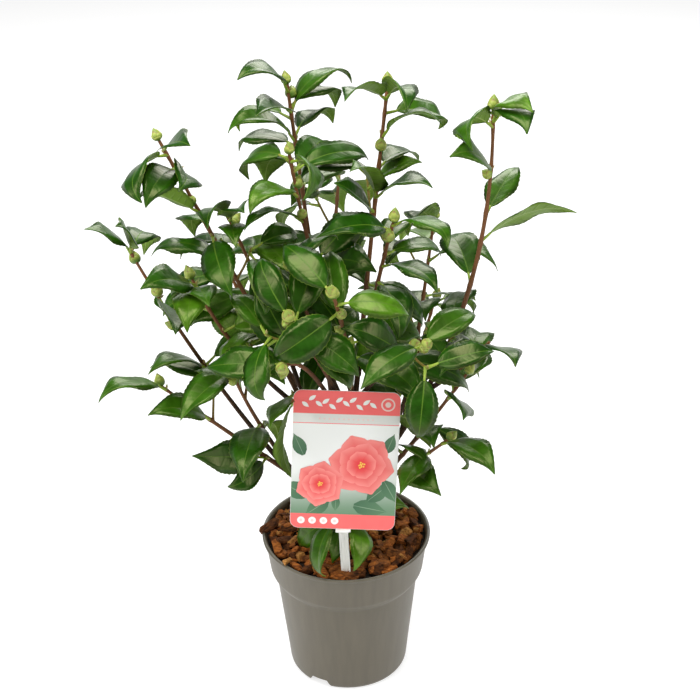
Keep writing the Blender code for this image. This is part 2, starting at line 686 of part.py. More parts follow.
def wall_radius(height):
    """Outer radius of the pot's wall under its lip."""
    if height >= COLLAR_FOOT:
        share = (height - COLLAR_FOOT) / COLLAR_HEIGHT
        return COLLAR_FOOT_RADIUS + (COLLAR_TOP_RADIUS - COLLAR_FOOT_RADIUS) * share
    return BASE_RADIUS + (BODY_TOP_RADIUS - BASE_RADIUS) * height / COLLAR_FOOT


def build_pot():
    """The pot: foot pad, drain channel, tapering wall, stepped collar and rolled lip, notched at its foot."""
    inside = [(0.0, FLOOR_TOP), (wall_radius(FLOOR_TOP) - POT_WALL, FLOOR_TOP),
              (wall_radius(STEP_HEIGHT) - POT_WALL, STEP_HEIGHT),
              (COLLAR_FOOT_RADIUS - POT_WALL, COLLAR_FOOT + POT_WALL),
              (wall_radius(POT_HEIGHT) - POT_WALL, POT_HEIGHT)]
    lip = [(RIM_RADIUS - LIP_BEVEL, POT_HEIGHT), (RIM_RADIUS, POT_HEIGHT - LIP_BEVEL),
           (RIM_RADIUS, POT_HEIGHT - LIP_HEIGHT), (wall_radius(POT_HEIGHT - LIP_HEIGHT), POT_HEIGHT - LIP_HEIGHT)]
    foot = [(COLLAR_FOOT_RADIUS, COLLAR_FOOT), (wall_radius(STEP_HEIGHT), STEP_HEIGHT)]
    for part in range(4):
        bend = math.radians(90 * part / 3)
        inset = BASE_ROUND * (1 - math.cos(bend))
        foot.append((wall_radius(BASE_ROUND) - inset, BASE_ROUND * (1 - math.sin(bend))))
    inner, outer = CHANNEL_RADII
    channel = [(outer, 0.0), (outer, CHANNEL_HEIGHT), (inner, CHANNEL_HEIGHT), (inner, 0.0), (0.0, 0.0)]
    pot = turned("pot", inside + lip + foot + channel, POT_PLASTIC)
    cutters = []
    for number in range(NOTCHES):
        turn = NOTCH_TURN + 2 * math.pi * number / NOTCHES
        centre = Vector((BASE_RADIUS * math.cos(turn), BASE_RADIUS * math.sin(turn), 0.0))
        size = (NOTCH_DEPTH, NOTCH_WIDTH, 2 * (CHANNEL_HEIGHT - GAP))
        cutters.append(block(centre, size, Matrix.Rotation(turn, 4, 'Z')))
    cut_away(pot, cutters)
    return pot


def heap(radius):
    """Height of the bark's surface: highest round the stem, with a lower ring inside the rim."""
    share = min(1.0, radius / (RIM_RADIUS - POT_WALL))
    return MULCH_EDGE + (MULCH_CROWN - MULCH_EDGE) * (1 - share * share)


def build_mulch():
    """Bark mulch on its growing medium: a plug that fills the pot, with the largest chips fused on top."""
    inner = wall_radius(MULCH_EDGE) - POT_WALL - GAP
    top = [(0.0, heap(0.0)), (TRUNK_FLARE + 4 * MM, heap(0.0))]
    top += [(inner * share, heap(inner * share)) for share in (0.45, 0.75, 1.0)]
    side = [(COLLAR_FOOT_RADIUS - POT_WALL - GAP, COLLAR_FOOT + POT_WALL + 2 * GAP),
            (wall_radius(STEP_HEIGHT) - POT_WALL - GAP, STEP_HEIGHT),
            (wall_radius(FLOOR_TOP) - POT_WALL - GAP, FLOOR_TOP + GAP), (0.0, FLOOR_TOP + GAP)]
    plug = turned("bark_mulch", top + side, BARK_MULCH)
    draw = random.Random(CHIP_SEED)
    group = bpy.data.collections.new("chips")
    TOOLS.children.link(group)
    reach = inner - CHIP_LENGTH * 0.75
    for number in range(CHIPS):
        radius = math.sqrt(draw.uniform((TRUNK_FLARE + CHIP_LENGTH * 0.75) ** 2, reach ** 2))
        turn = draw.uniform(0, 2 * math.pi)
        length = CHIP_LENGTH * draw.uniform(0.7, 1.1)
        size = (length, length * draw.uniform(*CHIP_WIDTH), length * draw.uniform(*CHIP_THICKNESS))
        centre = Vector((radius * math.cos(turn), radius * math.sin(turn), heap(radius) + size[2] * 0.15))
        spin = Matrix.Rotation(draw.uniform(0, math.pi), 4, 'Z')
        for axis in ('X', 'Y'):
            spin = spin @ Matrix.Rotation(draw.uniform(-CHIP_TILT, CHIP_TILT), 4, axis)
        block(centre, size, spin, group, f"chip_{number}")
    modifier = plug.modifiers.new("chips", 'BOOLEAN')
    modifier.operation = 'UNION'
    modifier.operand_type = 'COLLECTION'
    modifier.collection = group
    apply_modifiers(plug)
    for chip in list(group.objects):
        bpy.data.objects.remove(chip, do_unlink=True)
    bpy.data.collections.remove(group)
    cut_away(plug, [new_object("slot", stake_solid(GAP), TOOLS)])
    keep_main_shell(plug)
    plug.data.materials.clear()
    plug.data.materials.append(BARK_MULCH)


# ---- label
def build_label():
    """The plant label: a thin card with round corners, and the stake that it stands on."""
    outline = bpy.data.curves.new("label_card", 'CURVE')
    outline.dimensions = '2D'
    outline.fill_mode = 'BOTH'
    outline.extrude = CARD_THICKNESS / 2
    spline = outline.splines.new('POLY')
    corners = [(CARD_WIDTH / 2, CARD_HEIGHT, 0), (-CARD_WIDTH / 2, CARD_HEIGHT, 90),
               (-CARD_WIDTH / 2, 0.0, 180), (CARD_WIDTH / 2, 0.0, 270)]
    points = []
    for x, y, begin in corners:
        centre_x = x - math.copysign(CARD_ROUND, x)
        centre_y = y - CARD_ROUND if y > 0 else CARD_ROUND
        for part in range(4):
            turn = math.radians(begin + 30 * part)
            points.append((centre_x + CARD_ROUND * math.cos(turn), centre_y + CARD_ROUND * math.sin(turn)))
    spline.points.add(len(points) - 1)
    for point, (x, y) in zip(spline.points, points):
        point.co = (x, y, 0.0, 1.0)
    spline.use_cyclic_u = True
    flat = bpy.data.objects.new("outline", outline)
    TOOLS.objects.link(flat)
    flat.matrix_world = (Matrix.Translation(CARD_FOOT) @ Matrix(card_axes().T.tolist()).to_4x4()
                         @ Matrix.Translation((0.0, 0.0, -CARD_THICKNESS / 2)))
    bpy.context.view_layer.update()
    mesh = bpy.data.meshes.new_from_object(flat.evaluated_get(DEPSGRAPH()))
    card = bpy.data.objects.new("label_card", mesh)
    card.matrix_world = flat.matrix_world
    SHRUB.objects.link(card)
    bpy.data.objects.remove(flat, do_unlink=True)
    welded = bmesh.new()
    welded.from_mesh(mesh)
    bmesh.ops.remove_doubles(welded, verts=welded.verts, dist=0.01 * MM)
    welded.to_mesh(mesh)
    welded.free()
    mesh.materials.clear()
    mesh.materials.append(CARD_PLASTIC)
    new_object("label_stake", stake_solid(), SHRUB, STAKE_PLASTIC)


# ---- trunk, boughs and masses
def build_trunk(path):
    """The short trunk: flat at the mulch, flared with shallow root lobes, drawn in at its fork."""
    points = []
    for number in range(TRUNK_RINGS):
        share = number / (TRUNK_RINGS - 1)
        flare = max(0.0, 1 - share / FLARE_HEIGHT) ** 2
        radius = TRUNK_RADIUS + (TRUNK_FLARE - TRUNK_RADIUS) * flare
        if share == 1:
            radius *= 0.6
        centre = place_on(path, share)
        for side, point in enumerate(ring(centre, heading(path, share), radius, TRUNK_SIDES)):
            lobe = 1 + LOBE_SWELL * flare * math.cos(ROOT_LOBES * 2 * math.pi * side / TRUNK_SIDES)
            point = centre + (point - centre) * lobe
            if number == 0:
                point[2] = centre[2]
            points.append(point)
    new_object("trunk", loft(points, TRUNK_SIDES, closed_by_point=False), SHRUB, STEM_BARK)


def path_length(path):
    """Length along a path."""
    points = np.array([place_on(path, share) for share in np.linspace(0, 1, 33)])
    return float(np.linalg.norm(np.diff(points, axis=0), axis=1).sum())


def bough_limb(paths, name, extra=0.0):
    """The bare stretch of a shoot as one limb, grown by `extra` when it is used as a cutter."""
    start = SHOOTS[name][4]
    end = start - GAP / path_length(paths[name])
    radii = (shoot_radius(name, 0) + extra, shoot_radius(name, start) + extra)
    return limb(paths[name], 0.0, end, *radii, BOUGH_SIDES, 5)


def build_boughs(paths):
    """The bare stretch of each shoot, saddled on what it leaves and clear of its neighbours at the fork."""
    for number, name in enumerate(SHOOTS):
        parent = SHOOTS[name][0]
        bough = new_object(name + "_bough", bough_limb(paths, name), SHRUB, STEM_BARK)
        if parent == "trunk":
            saddle = limb(paths["trunk"], 0.0, 1.0, TRUNK_RADIUS + GAP, TRUNK_RADIUS + GAP, TRUNK_SIDES, 8)
        else:
            saddle = bough_limb(paths, parent, GAP)
        cutters = [new_object("saddle", saddle, TOOLS)]
        for other in list(SHOOTS)[:number]:
            if SHOOTS[other][0] == parent:
                cutters.append(new_object("neighbour", bough_limb(paths, other, GAP), TOOLS))
        cut_away(bough, cutters)
        keep_main_shell(bough)
        bough.data.materials.clear()
        bough.data.materials.append(STEM_BARK)


def build_masses(paths):
    """Each shoot's foliage, grown where there is room and fused to its stem."""
    room = Room()
    take_made_things(room, paths)
    for name, row in SHOOTS.items():
        start = row[4]
        radii = (shoot_radius(name, start), TIP_RADIUS)
        mass = grow_mass(room, name, paths[name], radii, row, HELD.get(name, ()))
        stem = limb(paths[name], start, 1.0, *radii, STEM_SIDES, 5)
        pieces = [twig_solid(twig) for twig in mass["twigs"]]
        pieces += [leaf_solid(leaf) for leaf in mass["leaves"]]
        pieces += [bud_solid(bud) for bud in mass["buds"]]
        fuse(name + "_foliage", stem, pieces, LEAF_GREEN)
        print(name, {kind: len(things) for kind, things in mass.items()})


PATHS = shoot_paths()
build_pot()
build_mulch()
build_label()
build_trunk(PATHS["trunk"])
build_boughs(PATHS)
build_masses(PATHS)
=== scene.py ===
# %% [markdown]
# # A camellia shrub in a nursery pot
# This script dresses a measured model of a young camellia: a turned plastic pot full of bark mulch,
# a plant label on a stake, and a shrub of about two hundred glossy leaves on two dozen shoots.
# Such a plant could be sculpted leaf by leaf, but growing it from a rule is quicker to change and
# keeps every leaf on its shoot, so most of the lesson is about writing a surface as a formula.
# The measured model comes first, because every new piece has to fit the space that it takes.

# %% Bring in the measured model
import math
import random

import bpy
import numpy as np
from mathutils import Matrix, Vector
from mathutils.bvhtree import BVHTree


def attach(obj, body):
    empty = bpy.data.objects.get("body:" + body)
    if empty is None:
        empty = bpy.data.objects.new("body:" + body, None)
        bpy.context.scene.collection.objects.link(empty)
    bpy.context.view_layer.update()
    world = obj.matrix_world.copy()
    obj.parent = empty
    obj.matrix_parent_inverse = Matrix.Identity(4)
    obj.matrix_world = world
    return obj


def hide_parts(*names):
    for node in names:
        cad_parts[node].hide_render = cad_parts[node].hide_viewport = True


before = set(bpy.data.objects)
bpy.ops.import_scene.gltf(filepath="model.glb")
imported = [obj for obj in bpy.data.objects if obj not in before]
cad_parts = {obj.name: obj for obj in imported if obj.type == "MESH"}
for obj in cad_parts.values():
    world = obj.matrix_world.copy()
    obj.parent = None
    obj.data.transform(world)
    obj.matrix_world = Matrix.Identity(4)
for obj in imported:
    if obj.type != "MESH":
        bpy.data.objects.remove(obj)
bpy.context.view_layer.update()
MM = 0.001

# %% [markdown]
# ## Camera, floor and light
# The plant stands on a pale floor and is looked at from in front and above, as on a shop's table.
# A long lens keeps the near and the far leaves nearly alike in size. Glossy leaves are best shown by
# large lamps: a small lamp makes hard white spots, while a large one draws the long soft streaks that
# make a camellia's leaf look waxed. A dim world fills the shadows from all round.

# %% Place the camera
CAMERA_PLACE = (0.0064, -1.15, 0.9744)
CAMERA_PITCH = math.radians(29.49)         # how far it looks down
CAMERA_ROLL = math.radians(-1.06)
FOCAL_SHARE = 1580.3 / 700                 # focal length as a share of the picture's width


def camera_turn(pitch, roll):
    """Rotation of a camera that looks along +Y, tipped down by the pitch, then rolled about its view."""
    ahead = Vector((0.0, math.cos(pitch), -math.sin(pitch)))
    above = Vector((0.0, math.sin(pitch), math.cos(pitch)))
    right = Vector((1.0, 0.0, 0.0))
    rolled_right = math.cos(roll) * right + math.sin(roll) * above
    rolled_above = math.cos(roll) * above - math.sin(roll) * right
    return Matrix((rolled_right, rolled_above, -ahead)).transposed()


camera_data = bpy.data.cameras.new("camera")
camera_data.sensor_width = 36.0
camera_data.lens = camera_data.sensor_width * FOCAL_SHARE
camera = bpy.data.objects.new("camera", camera_data)
bpy.context.scene.collection.objects.link(camera)
camera.matrix_world = Matrix.Translation(CAMERA_PLACE) @ camera_turn(CAMERA_PITCH, CAMERA_ROLL).to_4x4()
bpy.context.scene.camera = camera
print("lens", round(camera_data.lens, 1), "mm")

# %% Hang the lamps and light the world
MIDDLE = Vector((0.0, 0.0, 0.30))          # what the lamps point at


def softbox(name, place, width, height, power):
    """A rectangular area lamp that points at the plant's middle."""
    data = bpy.data.lights.new(name, 'AREA')
    data.shape = 'RECTANGLE'
    data.size, data.size_y = width, height
    data.energy = power
    made = bpy.data.objects.new(name, data)
    bpy.context.scene.collection.objects.link(made)
    made.location = place
    made.rotation_euler = (Vector(place) - MIDDLE).to_track_quat('Z', 'Y').to_euler()


softbox("top_softbox", (-0.25, -0.35, 1.75), 1.3, 1.1, 34.0)
softbox("left_softbox", (-1.55, -0.85, 0.95), 0.8, 1.1, 17.0)
softbox("right_softbox", (1.60, -0.70, 1.00), 0.8, 1.1, 14.0)
softbox("back_softbox", (0.20, 1.55, 1.25), 1.5, 0.9, 22.0)

world = bpy.data.worlds.new("studio")
world.use_nodes = True
world.node_tree.nodes["Background"].inputs["Color"].default_value = (1.0, 0.99, 0.97, 1.0)
world.node_tree.nodes["Background"].inputs["Strength"].default_value = 0.14
bpy.context.scene.world = world
bpy.context.scene.view_settings.view_transform = 'Standard'

# %% [markdown]
# ## Small tools
# Every piece below is a grid of points worked out by numpy in one go, so a few helpers do the rest:
# one names the corners of a grid's faces, one closes rows of rings into tubes, and one turns points
# and faces into a finished object. Shading is written the same way. Wiring dozens of Math nodes by
# hand is slow to read, so a small class wraps a node's output and lets Python's own + - * ** build
# the nodes.

# %% Faces of a grid, and a mesh from arrays
def spread(*numbers):
    """Arrays spread over one another, with a last axis that runs over them: x, y and z as points."""
    return np.stack(np.broadcast_arrays(*numbers), -1)


def grid_faces(rows, columns, around=False):
    """Corner numbers of a grid's quads, row after row; `around` joins the last column to the first."""
    row, column = np.meshgrid(np.arange(rows - 1), np.arange(columns if around else columns - 1),
                              indexing="ij")
    beside = (column + 1) % columns
    return spread(row * columns + column, row * columns + beside,
                  (row + 1) * columns + beside, (row + 1) * columns + column).reshape(-1, 4)


def repeat_faces(faces, copies, points_each):
    """The same faces for each of many copies whose points follow one another."""
    return (faces[None] + np.arange(copies)[:, None, None] * points_each).reshape(-1, faces.shape[1])


def closed_tubes(*kinds_of_tube):
    """Points, side faces and end faces of tubes, each kind an array over tube, ring, side and x, y, z.

    The sides run anticlockwise, seen from a tube's last ring. Both ends of each tube are closed.
    """
    points, faces, ends = [], [], []
    first = 0
    for tubes in kinds_of_tube:
        copies, rings, sides = tubes.shape[:3]
        each = rings * sides
        points.append(tubes.reshape(-1, 3))
        faces.append(repeat_faces(grid_faces(rings, sides, around=True), copies, each) + first)
        bases = (first + np.arange(copies) * each).tolist()
        ends += [tuple(base + side for side in reversed(range(sides))) for base in bases]
        ends += [tuple(base + each - sides + side for side in range(sides)) for base in bases]
        first += copies * each
    return np.concatenate(points), np.concatenate(faces), ends


def make_piece(name, points, faces, materials, kinds=None, coordinates=None, smooth=True, ends=()):
    """A finished mesh object at the origin.

    `faces` are quads, `ends` are faces of any other size, `kinds` gives each its material's number and
    `coordinates` gives each point its place in the piece's own UV map.
    """
    mesh = bpy.data.meshes.new(name)
    points = np.asarray(points, float).reshape(-1, 3)
    everything = faces.tolist() + [list(end) for end in ends]
    mesh.from_pydata(points.tolist(), [], everything)
    for material in materials:
        mesh.materials.append(material)
    if kinds is not None:
        mesh.polygons.foreach_set("material_index", np.asarray(kinds, np.int32))
    mesh.polygons.foreach_set("use_smooth", np.full(len(mesh.polygons), smooth))
    if coordinates is not None:
        corner = np.zeros(len(mesh.loops), np.int32)
        mesh.loops.foreach_get("vertex_index", corner)
        layer = mesh.uv_layers.new(name="surface")
        layer.data.foreach_set("uv", np.asarray(coordinates, float).reshape(-1, 2)[corner].ravel())
    mesh.validate()
    mesh.update()
    made = bpy.data.objects.new(name, mesh)
    bpy.context.scene.collection.objects.link(made)
    return made


def finish_piece(piece, slot, *nodes):
    """Let a piece ride on the plant's one body and stand for the measured nodes."""
    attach(piece, "root")
    if nodes:
        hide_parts(*nodes)
    print(piece.name, len(piece.data.polygons), "faces")


# %% Shading written as expressions
class Value:
    """A number that varies over a surface: one output socket, with operators that add Math nodes."""

    def __init__(self, finish, socket):
        self.finish = finish
        self.socket = socket

    def math(self, operation, *others):
        """This value put through a Math node with the other values."""
        inputs = {number: item for number, item in enumerate((self, *others))}
        return self.finish.node('ShaderNodeMath', {"operation": operation}, inputs)

    def __add__(self, other):
        return self.math('ADD', other)

    __radd__ = __add__

    def __sub__(self, other):
        return self.math('SUBTRACT', other)

    def __rsub__(self, other):
        return (self * -1.0) + other

    def __mul__(self, other):
        return self.math('MULTIPLY', other)

    __rmul__ = __mul__

    def __pow__(self, other):
        return self.math('POWER', other)

    def fraction(self):
        """What is left after the point."""
        return self.math('FRACT')

    def size(self):
        """The value without its sign."""
        return self.math('ABSOLUTE')

    def step(self, low, high):
        """0 below `low`, 1 above `high`, with a smooth rise between."""
        return self.finish.node('ShaderNodeMapRange', {"interpolation_type": 'SMOOTHSTEP'},
                                {"Value": self, "From Min": low, "From Max": high})


class Finish:
    """A material whose Principled shader is fed by expressions."""

    def __init__(self, name, colour, roughness, **fixed):
        self.material = bpy.data.materials.new(name)
        self.material.use_nodes = True
        self.tree = self.material.node_tree
        self.shader = self.tree.nodes["Principled BSDF"]
        self.shader.inputs["Base Color"].default_value = (*colour, 1.0)
        self.shader.inputs["Roughness"].default_value = roughness
        for socket, value in fixed.items():
            self.shader.inputs[socket.replace("_", " ")].default_value = value

    def node(self, kind, settings=None, inputs=None, output=0):
        """Any node: its type, its settings set first, then its inputs as numbers, tuples or Values."""
        made = self.tree.nodes.new(kind)
        for name, value in (settings or {}).items():
            setattr(made, name, value)
        for name, value in (inputs or {}).items():
            if isinstance(value, Value):
                self.tree.links.new(value.socket, made.inputs[name])
            else:
                made.inputs[name].default_value = value
        return Value(self, made.outputs[output])

    def place(self):
        """Where a point is, in metres."""
        return self.node('ShaderNodeTexCoord', output="Object")

    def parts(self, vector):
        """The three numbers of a vector."""
        split = self.node('ShaderNodeSeparateXYZ', inputs={"Vector": vector}).socket.node
        return [Value(self, socket) for socket in split.outputs]

    def across(self):
        """The piece's own UV map as two numbers."""
        uv = self.node('ShaderNodeUVMap', {"uv_map": "surface"})
        return self.parts(uv)[:2]

    def stretched(self, x, y, z):
        """Places stretched along the axes: a number above 1 packs the pattern closer along its axis."""
        return self.node('ShaderNodeMapping', inputs={"Vector": self.place(), "Scale": (x, y, z)})

    def noise(self, scale, detail=3.0, vector=None):
        """Smooth random numbers round 0.5, `scale` to the metre."""
        return self.node('ShaderNodeTexNoise', inputs={"Vector": vector or self.place(), "Scale": scale,
                                                       "Detail": detail})

    def blend(self, share, first, second):
        """One colour turning into another as the share goes from 0 to 1."""
        mix = self.tree.nodes.new('ShaderNodeMix')
        mix.data_type = 'RGBA'
        sockets = {socket.identifier: socket for socket in (*mix.inputs, *mix.outputs)}
        for identifier, value in (("Factor_Float", share), ("A_Color", first), ("B_Color", second)):
            if isinstance(value, Value):
                self.tree.links.new(value.socket, sockets[identifier])
            else:
                sockets[identifier].default_value = (*value, 1.0)
        return Value(self, sockets["Result_Color"])

    def feed(self, **values):
        """Link Values to the shader's sockets; spaces in a socket's name are written as _."""
        for socket, value in values.items():
            self.tree.links.new(value.socket, self.shader.inputs[socket.replace("_", " ")])
        return self

    def relief(self, height, depth, strength=1.0):
        """Small relief: `height` runs from 0 to 1 and `depth` is what 1 stands for, in metres."""
        return self.feed(Normal=self.node('ShaderNodeBump', inputs={
            "Height": height, "Distance": depth, "Strength": strength}))


print("tools ready")

# %% [markdown]
# ## The pot
# A nursery pot is blown or injection moulded in thin grey plastic: a tapering body, a wider collar
# that a fork can lift, a rolled rim and openings round its foot that let water out. It could be built
# from cylinders and bevels, but its whole shape is one outline turned about an axis, so that is how it
# is written. Each corner of the outline is rounded before it is turned, which makes the soft moulded
# edges. The drain openings are then cut out of the foot with tapering blocks.

# %% The pot's outline
POT_HEIGHT = 140 * MM
RIM_RADIUS = 75 * MM
COLLAR_FOOT = 102 * MM
COLLAR_FOOT_RADIUS = 68.6 * MM
COLLAR_TOP_RADIUS = 72.8 * MM
BODY_TOP_RADIUS = 64 * MM
BASE_RADIUS = 53 * MM
POT_WALL = 1.8 * MM
CHANNEL_HEIGHT = 8.5 * MM            # of the ring under the floor that the drain openings lead to
FLOOR_TOP = CHANNEL_HEIGHT + 2.4 * MM
LIP_HEIGHT = 3.2 * MM


def wall_radius(height):
    """Outer radius of the wall: the body and the collar each taper evenly."""
    body = BASE_RADIUS + (BODY_TOP_RADIUS - BASE_RADIUS) * height / COLLAR_FOOT
    share = (height - COLLAR_FOOT) / (POT_HEIGHT - COLLAR_FOOT)
    collar = COLLAR_FOOT_RADIUS + (COLLAR_TOP_RADIUS - COLLAR_FOOT_RADIUS) * share
    return np.where(np.asarray(height) >= COLLAR_FOOT, collar, body)


def rounded(corners, steps=6):
    """An outline whose corners (x, y, round) are rounded.

    The two points at `round` from a corner along its sides are joined by a curve: with t from 0 to 1 it
    is (1-t)^2 * first + 2t(1-t) * corner + t^2 * second.
    """
    points = np.array([corner[:2] for corner in corners], float)
    outline = [points[:1]]
    t = np.linspace(0, 1, steps)[:, None]
    for before, corner, after, (_, _, radius) in zip(points, points[1:], points[2:], corners[1:]):
        first = corner + (before - corner) / np.linalg.norm(before - corner) * radius
        second = corner + (after - corner) / np.linalg.norm(after - corner) * radius
        curve = (1 - t) ** 2 * first + 2 * t * (1 - t) * corner + t ** 2 * second
        outline.append(curve if radius > 0 else corner[None])
    outline.append(points[-1:])
    return np.concatenate(outline)


pot_outline = rounded([
    (0, 0.6 * MM, 0), (30 * MM, 0.6 * MM, 1 * MM), (31.5 * MM, 0, 0.6 * MM), (34 * MM, 0, 0.6 * MM),
    (34.3 * MM, CHANNEL_HEIGHT, 1.2 * MM), (44.7 * MM, CHANNEL_HEIGHT, 1.2 * MM), (45 * MM, 0, 0.5 * MM),
    (BASE_RADIUS + 0.2 * MM, 0, 5.5 * MM),
    (float(wall_radius(30 * MM)), 30 * MM, 2 * MM),
    (BODY_TOP_RADIUS - 0.4 * MM, COLLAR_FOOT - 3.4 * MM, 2 * MM),
    (BODY_TOP_RADIUS + 1.2 * MM, COLLAR_FOOT - 1.6 * MM, 1.0 * MM),
    (COLLAR_FOOT_RADIUS - 0.2 * MM, COLLAR_FOOT + 3.0 * MM, 2.6 * MM),
    (float(wall_radius(POT_HEIGHT - LIP_HEIGHT)), POT_HEIGHT - LIP_HEIGHT - 0.6 * MM, 0.7 * MM),
    (RIM_RADIUS - 0.5 * MM, POT_HEIGHT - LIP_HEIGHT + 0.2 * MM, 0.5 * MM),
    (RIM_RADIUS, POT_HEIGHT - 0.4 * MM, 0.9 * MM),
    (RIM_RADIUS - 2.0 * MM, POT_HEIGHT, 0.7 * MM),
    (COLLAR_TOP_RADIUS - POT_WALL, POT_HEIGHT - 1.6 * MM, 0.9 * MM),
    (COLLAR_FOOT_RADIUS - POT_WALL, COLLAR_FOOT + 3.4 * MM, 1.5 * MM),
    (BODY_TOP_RADIUS - POT_WALL, COLLAR_FOOT - 2.0 * MM, 1.0 * MM),
    (float(wall_radius(FLOOR_TOP)) - POT_WALL, FLOOR_TOP + 4 * MM, 2.0 * MM),
    (BASE_RADIUS - POT_WALL - 4 * MM, FLOOR_TOP, 1.5 * MM),
    (0, FLOOR_TOP, 0)])
print(len(pot_outline), "points in the pot's outline")


# %% Turn it
def turned(outline, sides):
    """Points and faces of an outline turned about the Z axis, with one point at each end on the axis.

    Point (i, j) is (r_i cos a_j, r_i sin a_j, z_i) with a_j = 2 pi j / sides.
    """
    turn = np.linspace(0, 2 * np.pi, sides, endpoint=False)
    radius, height = outline[1:-1, 0][:, None], outline[1:-1, 1][:, None]
    wall = spread(radius * np.cos(turn), radius * np.sin(turn), height).reshape(-1, 3)
    points = np.concatenate([wall, [(0, 0, outline[0, 1]), (0, 0, outline[-1, 1])]])
    rows = len(outline) - 2
    faces = grid_faces(rows, sides, around=True)
    first, last = len(wall), len(wall) + 1
    here = np.arange(sides)
    beside = (here + 1) % sides
    bottom = [(first, b, a) for a, b in zip(here.tolist(), beside.tolist())]
    top = [(last, a, b) for a, b in zip((here + (rows - 1) * sides).tolist(),
                                        (beside + (rows - 1) * sides).tolist())]
    return points, faces, bottom + top


def tapered_block(centre, turn, size, narrower):
    """A block for cutting, set square to a radius, whose top is narrower than its foot."""
    deep, wide, high = size
    corners = np.array([(x * deep / 2, y * (wide / 2 - (narrower if z else 0)), z * high)
                        for z in (0, 1) for x, y in ((-1, -1), (1, -1), (1, 1), (-1, 1))])
    c, s = math.cos(turn), math.sin(turn)
    spun = corners @ np.array(((c, s, 0), (-s, c, 0), (0, 0, 1))) + np.array(centre)
    faces = np.array([(0, 3, 2, 1), (4, 5, 6, 7), (0, 1, 5, 4), (1, 2, 6, 5), (2, 3, 7, 6), (3, 0, 4, 7)])
    return make_piece("cutter", spun, faces, [], smooth=False)


def cut_out(piece, cutters):
    """Cut the cutters out of a piece and take them away."""
    for cutter in cutters:
        modifier = piece.modifiers.new("opening", 'BOOLEAN')
        modifier.operation = 'DIFFERENCE'
        modifier.object = cutter
    bpy.context.view_layer.update()
    mesh = bpy.data.meshes.new_from_object(piece.evaluated_get(bpy.context.evaluated_depsgraph_get()))
    piece.modifiers.clear()
    piece.data = mesh
    for cutter in cutters:
        bpy.data.objects.remove(cutter, do_unlink=True)


# %% [markdown]
# ### Grey-brown moulded plastic
# Recycled plastic is a warm grey with a soft sheen. Under a lamp its wall shows faint upright flow
# marks, a fine grain that scatters the light, and pale dust where soil was wiped off. The flow marks
# are noise squeezed round the pot and drawn out along its height.

# %% The pot's finish
plastic = Finish("grey_plastic", (0.112, 0.097, 0.067), 0.42, Specular_IOR_Level=0.45)
flow = plastic.noise(1.0, 3.0, plastic.stretched(170, 170, 9))
cloud = plastic.noise(22, 2.0)
dust = plastic.noise(900, 2.0).step(0.70, 0.78) * plastic.noise(60, 2.0).step(0.5, 0.75)
shade = plastic.blend(flow.step(0.25, 0.75) * 0.55 + cloud * 0.45,
                      (0.096, 0.084, 0.059), (0.126, 0.109, 0.076))
plastic.feed(Base_Color=plastic.blend(dust * 0.5, shade, (0.30, 0.27, 0.22)))
plastic.feed(Roughness=0.36 + cloud * 0.14 + dust * 0.2)
plastic.relief(flow * 0.5 + plastic.noise(1400, 2.0) * 0.5, 0.00012, 0.6)

# %% Make the pot
points, faces, ends = turned(pot_outline, 144)
pot = make_piece("nursery_pot", points, faces, [plastic.material], ends=ends)
OPENINGS = 3
OPENING_TURN = math.radians(-120)
OPENING_SIZE = (18 * MM, 25 * MM, CHANNEL_HEIGHT + 0.8 * MM)
OPENING_TAPER = 5 * MM               # each side leans in so far
blocks = []
for number in range(OPENINGS):
    a = OPENING_TURN + 2 * math.pi * number / OPENINGS
    place = (BASE_RADIUS * math.cos(a), BASE_RADIUS * math.sin(a), -1 * MM)
    blocks.append(tapered_block(place, a, OPENING_SIZE, OPENING_TAPER))
cut_out(pot, blocks)
pot.data.set_sharp_from_angle(angle=math.radians(38))
finish_piece(pot, "pot_plastic", "pot")

# %% [markdown]
# ## The bark mulch
# The soil is hidden under a layer of chipped bark: flat, splintered pieces 8 to 20 mm long in every
# shade from pale tan to nearly black, lying at all angles with dark gaps between. A bump map on a flat
# disc would not cast those small shadows, so each chip is a solid of its own. A chip starts as a
# rounded box, written as a sphere whose sines and cosines are raised to a small power, and random
# waves then push its skin in and out.

# %% The bed under the chips
MULCH_EDGE = 134.5 * MM
MULCH_CROWN = 138 * MM


def heap(radius):
    """Height of the bark: it falls with the square of the distance from the stem."""
    share = np.minimum(1, radius / (RIM_RADIUS - POT_WALL))
    return MULCH_EDGE + (MULCH_CROWN - MULCH_EDGE) * (1 - share ** 2)


soil = Finish("dark_soil", (0.018, 0.010, 0.006), 0.95)
crumbs = soil.noise(420, 4.0)
soil.feed(Base_Color=soil.blend(crumbs.step(0.4, 0.7), (0.010, 0.006, 0.004), (0.045, 0.022, 0.012)))
soil.relief(crumbs, 0.0015)

BED_RINGS, BED_SIDES = 24, 96
BED_RADIUS = COLLAR_TOP_RADIUS - POT_WALL - 1.3 * MM
BED_DROP = 2.2 * MM                  # it lies so far under the heap's height
BED_FOOT, BED_FOOT_SHARE = 108 * MM, 0.93
bed_radius = np.linspace(0.02, 1, BED_RINGS)[::-1, None] * BED_RADIUS
turn = np.linspace(0, 2 * np.pi, BED_SIDES, endpoint=False)[None]
bumps = (np.sin(bed_radius * 900 + 3 * np.sin(turn * 7)) + np.sin(turn * 11 + bed_radius * 400)) * 0.5 * MM
bed_top = spread(bed_radius * np.cos(turn), bed_radius * np.sin(turn), heap(bed_radius) - BED_DROP + bumps)
foot_radius = BED_FOOT_SHARE * BED_RADIUS
bed_foot = spread(foot_radius * np.cos(turn), foot_radius * np.sin(turn), BED_FOOT)
bed = np.concatenate([bed_foot, bed_top])[None]
print("bed", BED_RINGS, "rings")

